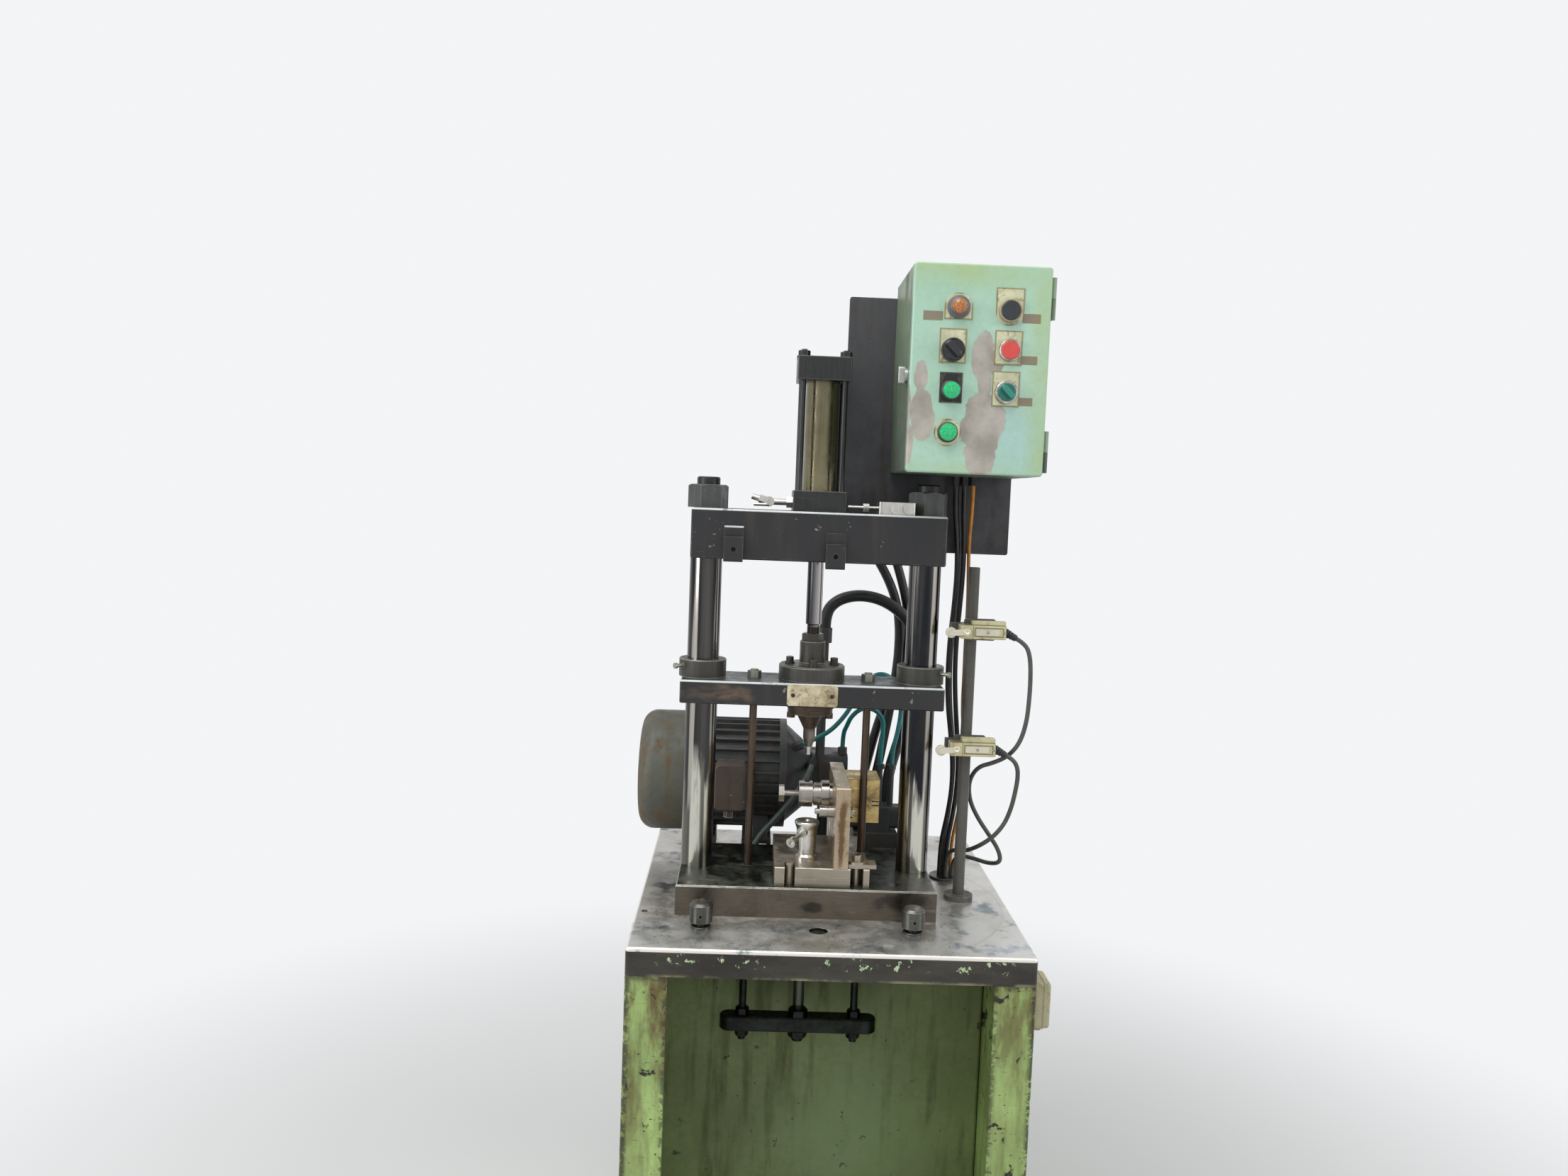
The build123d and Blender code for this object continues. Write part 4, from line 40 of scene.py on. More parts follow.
# Pieces are placed in millimetres from the table: X from its middle, Y from its front edge, Z over its top.
# Floor, lights and sizes of edges are in metres.
frame_origin = (0, 300, -800)

# Where faces and controls of the solids lie: heights, depths, and pairs of X and Z
base_top, crosshead_top, hook_top, beam_top = 46, 348, 587, 612
crosshead_front, switch_front, door_face = 191, 212, 110
cap_front, selector_front = 100.6, 91
amber_lamp, green_lamp, low_lamp = (150, 914), (144, 795), (142, 735)
black_button = (224, 911)
switch_corners = {"upper": (194, 435), "lower": (187, 250)}


def place(x, y, z):
    """A point of the frame, in metres, from the table's measures."""
    return Vector([(value - shift) / 1000 for value, shift in zip((x, y, z), frame_origin)])


def rgb(red, green, blue):
    """Linear colour from display values of 0 to 255."""
    return tuple(((value / 255 + 0.055) / 1.055) ** 2.4 for value in (red, green, blue))


def shade(colour, factor):
    """A colour made darker or lighter."""
    return tuple(min(1.0, channel * factor) for channel in colour)


def add(name, data):
    """A new object in the scene."""
    item = bpy.data.objects.new(name, data)
    scene.collection.objects.link(item)
    return item


# Camera, fitted to the photograph
yaw, pitch, roll = 0.0262, 0.0765, -0.0385
ahead = Vector((math.sin(yaw) * math.cos(pitch), math.cos(yaw) * math.cos(pitch), -math.sin(pitch)))
level = Vector((math.cos(yaw), -math.sin(yaw), 0))
under = ahead.cross(level)
right = math.cos(roll) * level + math.sin(roll) * under
down = -math.sin(roll) * level + math.cos(roll) * under
camera_data = bpy.data.cameras.new("camera")
camera_data.lens = 27.09
camera_data.sensor_width = 36
camera_data.clip_start = 0.05
camera_data.clip_end = 60
camera = add("camera", camera_data)
turn = Matrix((right, -down, -ahead)).transposed().to_4x4()
camera.matrix_world = Matrix.Translation(place(-130.1, -1602.4, 632.05)) @ turn
scene.camera = camera
scene.view_settings.view_transform = "Standard"


# Materials
class Nodes:
    """A node tree, with short ways to add to it."""

    def __init__(self, tree):
        self.tree = tree

    def put(self, socket, value):
        """Links an output to a socket, or sets a value, with full alpha for a colour."""
        if isinstance(value, bpy.types.NodeSocket):
            self.tree.links.new(value, socket)
        elif hasattr(value, "__len__") and len(value) == 3 and len(socket.default_value) == 4:
            socket.default_value = (*value, 1)
        else:
            socket.default_value = value

    def node(self, kind, inputs=None, **settings):
        """A new node with its settings, and its inputs by name or number."""
        node = self.tree.nodes.new("ShaderNode" + kind)
        for name, value in settings.items():
            setattr(node, name, value)
        for key, value in (inputs or {}).items():
            self.put(node.inputs[key], value)
        return node

    def math(self, operation, *values, clamp=True):
        """Values joined by one operation, from the first to the last."""
        clamp = clamp and operation in ("ADD", "MULTIPLY", "SUBTRACT")
        result = values[0]
        for value in values[1:]:
            result = self.node("Math", {0: result, 1: value}, operation=operation, use_clamp=clamp).outputs[0]
        return result

    def both(self, *masks):
        """1 where all masks are."""
        return self.math("MULTIPLY", *masks)

    def most(self, *masks):
        """1 where any mask is."""
        return self.math("MAXIMUM", *masks)

    def rest(self, mask):
        """What a mask leaves."""
        return self.math("SUBTRACT", 1, mask)

    def seen(self):
        """1 for rays from the camera, from reflections and through glass."""
        rays = self.node("LightPath").outputs
        return self.most(rays["Is Camera Ray"], rays["Is Glossy Ray"], rays["Is Transmission Ray"])


class Look(Nodes):
    """One material under construction."""

    def __init__(self, name):
        self.material = bpy.data.materials.new(name)
        self.material.use_nodes = True
        super().__init__(self.material.node_tree)
        self.shader = self.tree.nodes["Principled BSDF"]
        self.at = self.node("TexCoord").outputs["Object"]
        self.base = None

    def set(self, name, value):
        self.put(self.shader.inputs[name], value)
        return self

    def noise(self, scale, detail, rough, stretch=None, bend=0.0, turn=(0, 0, 0)):
        at = self.at
        if stretch:
            angles = [math.radians(angle) for angle in turn]
            at = self.node("Mapping", {"Vector": at, "Scale": stretch, "Rotation": angles}).outputs[0]
        inputs = {"Vector": at, "Scale": scale, "Detail": detail, "Roughness": rough, "Distortion": bend}
        return self.node("TexNoise", inputs).outputs["Fac"]

    def cells(self, scale):
        return self.node("TexVoronoi", {"Vector": self.at, "Scale": scale}).outputs["Distance"]

    def vector(self, operation, a, b=(0, 0, 0)):
        node = self.node("VectorMath", {0: a, 1: b}, operation=operation)
        return node.outputs["Value" if operation in ("LENGTH", "DOT_PRODUCT") else "Vector"]

    def part(self, axis, vector):
        return self.node("SeparateXYZ", {0: vector}).outputs[axis]

    def facing(self, axis):
        """The surface's direction along its piece's own axis, from -1 to 1."""
        return self.part(axis, self.node("TexCoord").outputs["Normal"])

    def mm(self, axis):
        """The table's own measure along an axis."""
        inputs = {0: self.part(axis, self.at), 1: 1000, 2: frame_origin[axis]}
        return self.node("Math", inputs, operation="MULTIPLY_ADD").outputs[0]

    def ramp(self, value, low, high, to_low=0.0, to_high=1.0):
        inputs = {"Value": value, "From Min": low, "From Max": high, "To Min": to_low, "To Max": to_high}
        return self.node("MapRange", inputs, interpolation_type="SMOOTHSTEP").outputs["Result"]

    def cloud(self, scale, detail, rough, low, high, to_low=0.0, to_high=1.0, **more):
        """Noise cut to patches that fade from one limit to the other."""
        return self.ramp(self.noise(scale, detail, rough, **more), low, high, to_low, to_high)

    def between(self, value, low, high, soft):
        """1 from low to high, fading outside."""
        return self.both(self.ramp(value, low - soft, low), self.ramp(value, high + soft, high))

    def panel(self, left, end, low, top, soft=0.4):
        """1 inside a rectangle of the table's X and Z."""
        return self.both(self.between(self.mm(0), left, end, soft), self.between(self.mm(2), low, top, soft))

    def ovals(self, spots, ragged=0.0, soft=0.04):
        """1 inside ovals given by a middle and half sizes in the table's measures."""
        rims = [self.vector("LENGTH", self.vector("DIVIDE", self.vector("SUBTRACT", self.at, place(*middle)),
                                                  Vector(half) / 1000)) for middle, half in spots]
        nearest = self.math("MINIMUM", *rims)
        if ragged:
            wobble = self.cloud(28, 5, 0.62, 0.3, 0.7, -ragged, ragged)
            nearest = self.math("ADD", nearest, wobble, clamp=False)
        return self.ramp(nearest, 1 + soft, 1 - soft)

    def mix(self, amount, a, b):
        return self.node("Mix", {0: amount, 6: a, 7: b}, data_type="RGBA").outputs[2]

    def cover(self, mask, colour, amount=None):
        """Lays a colour over the base where the mask is 1."""
        self.base = self.mix(mask if amount is None else self.both(mask, amount), self.base, colour)

    def mottle(self, pattern, colour, dark, light):
        """A colour that wanders between a darker and a lighter shade."""
        return self.mix(self.ramp(pattern, 0.3, 0.7), shade(colour, dark), shade(colour, light))

    def edges(self, radius, sharp=0.86):
        """1 along the edges of a form and 0 away from them."""
        bevel = self.node("Bevel", {"Radius": radius}, samples=4).outputs[0]
        own = self.node("NewGeometry").outputs["Normal"]
        return self.ramp(self.vector("DOT_PRODUCT", bevel, own), 1.0, sharp)

    def finish(self, rough, metal=0.0):
        """Gives the shader the base colour, roughness and metal."""
        return self.set("Base Color", self.base).set("Roughness", rough).set("Metallic", metal)

    def bump(self, height, distance, strength):
        """Adds relief over what the shader already has."""
        relief = {"Distance": distance, "Strength": strength, "Height": height}
        normal = self.shader.inputs["Normal"]
        if normal.is_linked:
            relief["Normal"] = normal.links[0].from_socket
        self.put(normal, self.node("Bump", relief).outputs["Normal"])
        return self


def paint_layers(name, colour, dirt=rgb(62, 58, 50), dirty=0.5, wear=0.3, chip_scale=38, edge=0.0016):
    """Old paint: uneven colour, grime and streaks, and where chips, edges and scratches have taken it off."""
    look = Look(name)
    uneven = look.noise(7, 5, 0.6)
    look.base = look.mottle(uneven, colour, 0.84, 1.14)
    look.cover(look.cloud(120, 3, 0.6, 0.35, 0.75, 0.0, 0.35), shade(colour, 0.7))
    streak = look.noise(9, 4, 0.6, stretch=(6, 6, 0.7))
    look.grime = look.both(look.ramp(streak, 0.46, 0.72), dirty)
    look.cover(look.grime, dirt)
    patch = look.noise(chip_scale, 6, 0.68, bend=0.6)
    area = look.cloud(4.5, 3, 0.5, 0.4, 0.75, 0.0, 0.12 * wear)
    chips = look.ramp(look.math("ADD", patch, area), 0.70 - 0.05 * wear, 0.715 - 0.05 * wear)
    rim = look.both(look.edges(edge), look.ramp(patch, 0.3, 0.62, 0.15, 1.0))
    rim = look.both(look.ramp(rim, 0.30, 0.62), min(1.0, 0.5 + wear))
    scratch = look.noise(26, 2, 0.5, stretch=(1, 7, 22), turn=(31, 12, 23))
    scratch = look.both(look.ramp(scratch, 0.74, 0.765), look.ramp(uneven, 0.35, 0.6, 0, wear))
    look.gone = look.most(chips, rim, scratch)
    return look


def paint_finish(look, bare, gloss, bare_metal=0.6):
    """Closes a painted look: bare metal where the paint is gone, gloss and a fine orange peel."""
    look.cover(look.gone, look.mix(look.cloud(90, 4, 0.7, 0.35, 0.7), bare, shade(bare, 1.9)))
    rough = look.cloud(30, 4, 0.6, 0.3, 0.75, gloss - 0.07, gloss + 0.16)
    look.finish(look.math("ADD", rough, look.both(look.grime, 0.5)), look.both(look.gone, bare_metal))
    look.bump(look.noise(420, 2, 0.5), 0.00008, 0.5)
    return look.bump(look.rest(look.gone), 0.00018, 0.8)


def painted(name, colour, bare, gloss=0.5, **layers):
    """A piece in one old paint."""
    return paint_finish(paint_layers(name, colour, **layers), bare, gloss)


upright = (20, 20, 1)  # grain along a piece's height


def steel_layers(name, colour, grain=(1, 60, 60), stain=rgb(104, 88, 72), stained=0.3, scratched=0.5,
                 edge_light=0.35, edge=0.0012):
    """Bare steel: its colour with grinding grain, stains, scratches, and bright edges that are partly rubbed
    steel and partly a painted highlight.
    """
    look = Look(name)
    look.base = look.mix(look.cloud(11, 5, 0.6, 0.3, 0.72), shade(colour, 0.74), shade(colour, 1.18))
    look.grain = look.noise(14, 3, 0.6, stretch=grain)
    look.cover(look.ramp(look.grain, 0.35, 0.68, 0.0, 0.5), shade(colour, 1.35))
    look.stains = look.both(look.cloud(16, 6, 0.72, 0.50, 0.70, bend=0.8), stained)
    look.cover(look.stains, stain)
    line = look.noise(22, 1.5, 0.5, stretch=(1.2, 26, 9), turn=(17, 44, 8))
    cross = look.noise(25, 1.5, 0.5, stretch=(24, 1.1, 12), turn=(8, 21, 39))
    look.lines = look.both(look.most(look.ramp(line, 0.70, 0.725), look.ramp(cross, 0.72, 0.745)), scratched)
    look.cover(look.lines, shade(colour, 1.9))
    # Bright edges: partly rubbed steel, partly a painted highlight
    look.cover(look.edges(edge), rgb(222, 218, 210), edge_light)
    return look


def steel_finish(look, rough, metal):
    """Closes a bare metal look: shine broken by stains, and the relief of grain and scratches."""
    wave = look.cloud(40, 4, 0.6, 0.3, 0.7, rough - 0.08, rough + 0.14)
    look.finish(look.math("ADD", wave, look.both(look.stains, 0.35)),
                look.math("SUBTRACT", metal, look.both(look.stains, 0.8)))
    look.bump(look.grain, 0.00006, 0.6)
    return look.bump(look.rest(look.lines), 0.00005, 0.5)


def steel(name, colour, rough=0.34, metal=1.0, **layers):
    """A piece in one bare metal."""
    return steel_finish(steel_layers(name, colour, **layers), rough, metal)


def moulded(name, colour, rough, dirt, dirty):
    """Moulded plastic: fine grain, handling marks, dirt in patches."""
    look = Look(name)
    uneven = look.noise(18, 5, 0.6)
    look.base = look.mottle(uneven, colour, 0.88, 1.08)
    marks = look.both(look.cloud(45, 5, 0.7, 0.50, 0.72, bend=0.5), dirty)
    look.cover(marks, dirt)
    look.cover(look.edges(0.001), shade(colour, 1.35), 0.25)
    look.finish(look.math("ADD", look.ramp(uneven, 0.3, 0.7, rough - 0.06, rough + 0.1), marks))
    return look.bump(look.noise(700, 2, 0.5), 0.00005, 0.5)


def rubber(name, colour, rough, dusty):
    """Hose and cable jackets: matte, dusty on top, scuffed."""
    look = Look(name)
    dust = rgb(128, 122, 112)
    uneven = look.noise(40, 4, 0.6)
    look.base = look.mottle(uneven, colour, 0.8, 1.3)
    look.cover(look.cloud(130, 5, 0.7, 0.55, 0.75, 0.0, dusty), dust)
    look.cover(look.ramp(look.facing(2), 0.2, 1.0), dust, dusty * 0.6)
    look.finish(look.ramp(uneven, 0.3, 0.7, rough - 0.1, rough + 0.15))
    return look.bump(look.noise(900, 2, 0.5), 0.00006, 0.5)


def cabinet_look():
    """Yellow-green enamel: brown grime at the top of the legs, black chips along the folds."""
    look = paint_layers("cabinet_paint", rgb(166, 192, 118), dirt=rgb(84, 74, 44), wear=0.9, chip_scale=34,
                        edge=0.0025)
    height = look.mm(2)
    top = look.ramp(height, -330, -60)
    left = look.both(look.ramp(look.mm(0), -180, -280), look.ramp(height, -700, -120), 0.4)
    brown = look.both(look.cloud(20, 6, 0.65, 0.36, 0.62, stretch=(1.6, 1.6, 0.5)),
                      look.math("ADD", look.both(top, 0.7), 0.12, left))
    look.cover(brown, rgb(100, 86, 46))
    fold = look.both(look.edges(0.012, 0.985), look.cloud(85, 5, 0.7, 0.46, 0.49, bend=0.4))
    cut = look.most(look.cloud(60, 3, 0.6, 0.675, 0.69, stretch=(1, 1, 3.2), turn=(0, 38, 0)),
                    look.cloud(75, 3, 0.6, 0.69, 0.705, stretch=(1, 1, 3.6), turn=(0, -52, 0)))
    look.gone = look.most(look.gone, fold, cut)
    return paint_finish(look, rgb(34, 31, 28), 0.46, 0.2)


def tank_look():
    """Olive oil tank: dull and grimy, with a painted shadow of the table darkening it towards its top and one
    painted pool of light low on its front.
    """
    look = paint_layers("tank_paint", rgb(128, 140, 92), dirt=rgb(66, 60, 36), wear=0.35)
    # Painted light: a paler pool low on the front
    cloud = look.ovals([((70, 330, -455), (120, 200, 120))], 0.25, 0.75)
    look.cover(cloud, rgb(148, 172, 122), 0.7)
    # Painted shadow of the table: darker towards the top
    look.cover(look.both(look.ramp(look.mm(2), -260, -60), 0.6), rgb(40, 46, 32))
    look.cover(look.cloud(44, 5, 0.62, 0.66, 0.70), rgb(52, 46, 30), 0.8)
    return paint_finish(look, rgb(46, 42, 34), 0.5, 0.2)


def table_look():
    """Table pan: rubbed grey steel on top with a painted bluish sheen on its right, a brown-black skirt, and
    a bright edge between them that is partly worn steel and partly a painted highlight.
    """
    look = steel_layers("table_steel", rgb(142, 158, 162), grain=(40, 1.5, 40), stain=rgb(70, 70, 64),
                        stained=0.7, scratched=0.6, edge_light=0.0)
    across, along, height = look.mm(0), look.mm(1), look.mm(2)
    rear = look.most(look.both(look.ramp(along, 60, 300), look.ramp(across, 60, -230)),
                     look.both(look.ramp(along, 40, 170), look.ramp(across, -190, -250)))
    look.cover(rear, rgb(62, 69, 73), 0.85)
    # Painted sheen: a bluish reflection over the right of the top
    painted_wet_sheen = look.both(look.ramp(across, 120, 250), look.cloud(9, 4, 0.6, 0.35, 0.6))
    look.cover(painted_wet_sheen, rgb(176, 182, 194), 0.6)
    under_plate = look.both(look.ramp(along, 60, 128), look.cloud(14, 5, 0.6, 0.4, 0.6, 0.2, 1.0))
    look.cover(under_plate, rgb(92, 94, 90), 0.5)
    ring_middle, flat = place(25, 224, 0), (1, 1, 0)
    away = look.vector("MULTIPLY", look.vector("SUBTRACT", look.at, ring_middle), flat)
    ring = look.both(look.between(look.vector("LENGTH", away), 0.2525, 0.2560, 0.0012),
                     look.ramp(across, 170, 215))
    look.cover(ring, rgb(58, 62, 64), 0.55)
    # The skirt, with pale flakes under the edge and a worn seam at its foot
    skirt = look.mix(look.cloud(12, 5, 0.62, 0.3, 0.7, stretch=(0.6, 1, 2)),
                     rgb(34, 30, 24), rgb(66, 63, 54))
    flake = look.both(look.cloud(80, 5, 0.68, 0.583, 0.598), look.between(height, -23, -9, 4),
                      look.cloud(13, 2, 0.5, 0.46, 0.52))
    skirt = look.mix(flake, skirt, rgb(190, 214, 168))
    seam = look.both(look.ramp(height, -36, -40), look.cloud(24, 4, 0.6, 0.4, 0.6))
    skirt = look.mix(look.both(seam, 0.7), skirt, rgb(150, 144, 112))
    side = look.ramp(height, -2.6, -6.5)
    look.cover(side, skirt)
    # The rounded edge: partly worn bright steel, partly a painted highlight
    rub = look.noise(16, 5, 0.65, stretch=(1, 1, 1.5))
    worn_lip_and_highlight = look.both(look.between(height, -5.0, -0.6, 1.4), look.ramp(rub, 0.34, 0.46))  # the rounded edge
    look.cover(worn_lip_and_highlight, rgb(236, 230, 222))
    spare_hole = look.both(look.ramp(height, -0.3, -1.0), look.ovals([((-16, 84, -10), (16.5, 16.5, 60))]))
    look.cover(spare_hole, rgb(30, 29, 27))
    drops = look.ramp(look.cells(95), 0.16, 0.12)
    wave = look.cloud(24, 5, 0.65, 0.3, 0.7, 0.28, 0.5)
    look.finish(look.math("SUBTRACT", wave, look.both(drops, 0.2)),
                look.both(look.math("SUBTRACT", 0.92, look.both(look.stains, 0.6)),
                          look.ramp(look.both(side, look.rest(worn_lip_and_highlight)), 0, 1, 1.0, 0.15)))
    look.bump(look.grain, 0.00005, 0.5)
    look.bump(look.both(drops, look.ramp(across, 100, 220)), 0.00012, 0.6)
    return look.bump(look.noise(260, 3, 0.6), 0.00006, 0.5)


def base_look():
    """Press base: brown-grey ground sides, a dark oily top and a painted highlight along its upper edges."""
    look = steel_layers("base_steel", rgb(98, 91, 82), grain=(1.5, 50, 50), stain=rgb(64, 54, 44),
                        stained=0.7, edge_light=0.0)
    oily = look.mix(look.cloud(10, 5, 0.65, 0.35, 0.65), rgb(52, 58, 52), rgb(96, 98, 88))
    look.cover(look.ramp(look.facing(2), 0.4, 0.9), oily)
    smudge = look.ovals([((-22, 133, 18), (16, 8, 9)), ((112, 133, 29), (34, 8, 18))], 0.3, 0.3)
    look.cover(smudge, rgb(44, 42, 40), 0.75)
    # Painted highlight: a bright line just under the top edges
    rim = look.both(look.ramp(look.mm(2), base_top - 2.8, base_top - 1.4), look.edges(0.0014),
                    look.cloud(30, 4, 0.6, 0.25, 0.4))
    look.cover(rim, rgb(238, 234, 226))
    return steel_finish(look, 0.3, 0.9)


def chrome_layers(name):
    """Chrome: the pattern of its long streaks, which stand for painted reflections, and fine turning marks.
    """
    look = Look(name)
    look.streak = look.noise(9, 3, 0.5, stretch=(5, 5, 0.12))
    return look.bump(look.noise(90, 2, 0.5, stretch=(0.2, 0.2, 4)), 0.00002, 0.25)


def column_look():
    """Chromed columns: dark and smeared above with a painted glint, rubbed bright near the base with a
    painted bright band, painted reflection streaks throughout, dull threaded ends.
    """
    look = chrome_layers("column_chrome")
    height, streak = look.mm(2), look.streak
    film = look.noise(12, 5, 0.6, stretch=(1.5, 1.5, 0.6))
    # Painted reflections: a glint above and a bright band below, turned to opposite sides on the two columns
    mirrored = look.math("MULTIPLY", look.facing(0), look.ramp(look.mm(0), -60, -10, 1.0, -1.0), clamp=False)
    side = look.math("ADD", mirrored, look.ramp(streak, 0.2, 0.8, -0.12, 0.12), clamp=False)
    painted_glint = look.most(look.between(side, -0.62, -0.42, 0.08),
                      look.both(look.between(side, 0.66, 0.76, 0.05), 0.7))
    painted_band = look.most(look.between(side, -0.42, 0.12, 0.12),
                     look.both(look.between(side, 0.44, 0.62, 0.06), 0.8))
    upper = look.mix(look.ramp(streak, 0.42, 0.72, 0.0, 0.6), rgb(40, 42, 46), rgb(108, 104, 100))
    upper = look.mix(look.both(painted_glint, 0.8), upper, rgb(186, 180, 172))
    lower = look.mix(look.ramp(streak, 0.30, 0.60), rgb(72, 71, 67), rgb(112, 110, 103))
    lower = look.mix(look.both(painted_band, 0.85), lower, rgb(212, 210, 198))
    limit = look.cloud(30, 3, 0.5, 0.3, 0.7, 130, 215, stretch=(4, 4, 0.4))
    over = look.math("SUBTRACT", height, limit, clamp=False)
    look.base = look.mix(look.ramp(over, 45, -25), upper, lower)
    look.cover(look.ramp(film, 0.50, 0.75, 0.0, 0.3), rgb(84, 78, 70))
    ends = look.most(look.ramp(height, beam_top - 1, beam_top + 1),
                     look.ramp(height, base_top + 1, base_top - 1))
    look.cover(ends, rgb(58, 58, 58))
    return look.finish(look.math("ADD", look.ramp(streak, 0.3, 0.7, 0.10, 0.22),
                                 look.ramp(film, 0.45, 0.8, 0.0, 0.22), look.both(ends, 0.25)), 1)


def rod_look():
    """Piston rod: chrome with a painted reflection, dark down its left side and bright on its right, painted
    reflection streaks, and a dark threaded foot.
    """
    look = chrome_layers("rod_chrome")
    # Painted reflection: dark on the left side, bright on the right, with painted streaks
    look.base = look.mix(look.ramp(look.mm(0), -40, -22), rgb(62, 62, 66), rgb(188, 184, 182))
    look.cover(look.ramp(look.streak, 0.4, 0.6, 0.0, 0.4), rgb(108, 106, 106))
    look.cover(look.ramp(look.mm(2), 434, 430), rgb(52, 48, 46))
    return look.finish(look.ramp(look.streak, 0.3, 0.7, 0.1, 0.24), 1)


def block_look(name, top, smudge=None):
    """Black beam or crosshead: satin paint, a painted highlight along the upper front edge and a painted
    sheen on its upward faces.
    """
    look = paint_layers(name, rgb(29, 29, 31), dirt=rgb(58, 53, 46), dirty=0.35, wear=0.25, chip_scale=60,
                        edge=0.0012)
    if smudge:
        rub = look.both(look.ovals([smudge], 0.35, 0.5),
                        look.cloud(18, 5, 0.6, 0.35, 0.6, turn=(0, 25, 0), stretch=(1, 1, 3)))
        look.cover(rub, rgb(118, 96, 78), 0.7)
    # Painted highlight: a bright line along the upper front edge
    line = look.both(look.ramp(look.mm(2), top - 3.2, top - 2.4), look.ramp(look.facing(2), 0.98, 0.9),
                     look.cloud(30, 4, 0.6, 0.22, 0.4))
    look.cover(line, rgb(206, 212, 212))
    # Painted sheen: upward faces made lighter
    upper = look.both(look.ramp(look.facing(2), 0.9, 0.98), 0.4)
    look.cover(upper, rgb(66, 70, 72))
    return paint_finish(look, rgb(120, 112, 104), 0.36)


def shell_look():
    """Control box shell: mint enamel with grime, its colour darkened to olive as painted shade, darker
    towards the bottom and black below it as painted shadow.
    """
    look = paint_layers("box_shell_paint", rgb(108, 124, 100), dirt=rgb(58, 62, 48), dirty=0.55, wear=0.35,
                        edge=0.0014)
    # Painted shade: the sides darker towards the bottom
    low = look.both(look.ramp(look.mm(2), 880, 690), look.cloud(8, 4, 0.6, 0.3, 0.6, 0.4, 1.0))
    look.cover(low, rgb(62, 74, 68), 0.65)
    # Painted shadow: black below the box's bottom, over its glands
    look.cover(look.ramp(look.mm(2), 675.6, 675), rgb(32, 32, 33))
    along, inside = look.mm(1), look.panel(93, 275, 686, 966, 0.6)
    plate = look.both(inside, look.between(along, 293.6, 303.4, 0.3))
    look.cover(plate, rgb(176, 176, 170))
    gear = look.both(inside, look.between(along, 200, 293.2, 0.3))
    kind = look.cloud(7, 0, 0.5, 0.49, 0.51, stretch=(1, 0.01, 1))
    look.cover(gear, look.mix(kind, rgb(62, 64, 66), rgb(196, 194, 182)))
    look.gone = look.both(look.gone, look.rest(look.most(plate, gear)))
    return paint_finish(look, rgb(96, 90, 78), 0.42, 0.3)


def door_look():
    """Door: mint enamel, paint rubbed through to taupe in large patches, glue marks, the control bezels."""
    look = Look("box_paint")
    across, along, height = look.mm(0), look.mm(1), look.mm(2)
    uneven = look.noise(6, 4, 0.6)
    look.base = look.mix(look.ramp(uneven, 0.3, 0.7), rgb(164, 200, 178), rgb(178, 212, 192))
    # Yellowed near top, right edge and bottom
    yellow = look.most(look.ramp(height, 930, 966), look.both(look.ramp(across, 246, 270), 0.8),
                       look.ramp(height, 700, 680, 0, 0.5))
    look.cover(look.both(yellow, look.cloud(12, 4, 0.6, 0.3, 0.6, 0.3, 0.9)), rgb(166, 190, 138))
    look.cover(look.cloud(5, 3, 0.5, 0.5, 0.7, 0.0, 0.6), rgb(172, 208, 208))
    look.cover(look.cloud(150, 3, 0.6, 0.4, 0.8, 0.0, 0.2), rgb(140, 160, 136))
    # Rubbed through to taupe, on the front sheet only: X, Z and half sizes
    patches = [((x, door_face, z), (wide, 60, high)) for x, z, wide, high in (
        (187, 846, 18, 32), (193, 806, 11, 24), (193, 748, 32, 50), (191, 704, 24, 32), (205, 838, 14, 18),
        (99.5, 814, 10, 21), (99, 790, 5, 12), (104, 757, 17, 37), (84, 716, 10, 34), (83, 760, 4, 44))]
    outside = look.rest(look.both(look.ramp(along, 111.5, 111.9), look.panel(86, 282, 678, 974, 0.1)))
    rubbed = look.both(look.ovals(patches, 0.16, 0.02), outside)
    rim = look.both(look.ovals(patches, 0.16, 0.09), look.rest(rubbed), outside)
    taupe = look.mix(look.cloud(16, 4, 0.6, 0.3, 0.7), rgb(146, 138, 130), rgb(190, 182, 172))
    look.cover(rim, rgb(128, 132, 122), 0.5)
    look.cover(rubbed, taupe, 0.95)
    # Glue marks of lost plates: left, right, low and top
    marks = (99.6, 127.8, 894, 907), (242.7, 269, 895, 908), (241.8, 267, 836, 848), (237.8, 263, 777, 788.5)
    for mark in marks:
        look.cover(look.both(look.panel(*mark, 0.5), outside), rgb(128, 104, 84), 0.85)
    face_wear = look.both(rubbed, look.ramp(along, 111.6, 111))
    # Bezels: dark on the left, silver on the right, brownish at the top
    proud = look.ramp(along, door_face - 0.3, door_face - 0.6)
    left_side = look.ramp(across, 186, 184)
    silver = look.mix(look.cloud(60, 3, 0.6, 0.3, 0.7), rgb(128, 128, 124), rgb(206, 204, 198))
    ring = look.mix(look.ramp(height, 883, 886), silver, rgb(158, 148, 118))
    ring = look.mix(left_side, ring, rgb(40, 41, 46))
    look.cover(proud, ring)
    # The inside, with its contact blocks
    look.cover(look.ramp(along, door_face + 1, door_face + 6, 0.0, 0.8), rgb(122, 146, 126))
    blocks = look.both(look.ramp(along, 112.6, 113.2), look.panel(92, 276, 686, 968, 1))
    look.cover(blocks, rgb(70, 72, 74))
    metal = look.both(proud, look.ramp(height, 886, 883), look.ramp(across, 184, 186))
    rough = look.math("ADD", look.ramp(uneven, 0.3, 0.7, 0.34, 0.44), look.both(face_wear, 0.2))
    look.finish(look.math("SUBTRACT", rough, look.both(proud, 0.12)), metal)
    look.bump(look.noise(380, 2, 0.5), 0.0001, 0.4)
    return look.bump(look.rest(face_wear), 0.00012, 0.6)


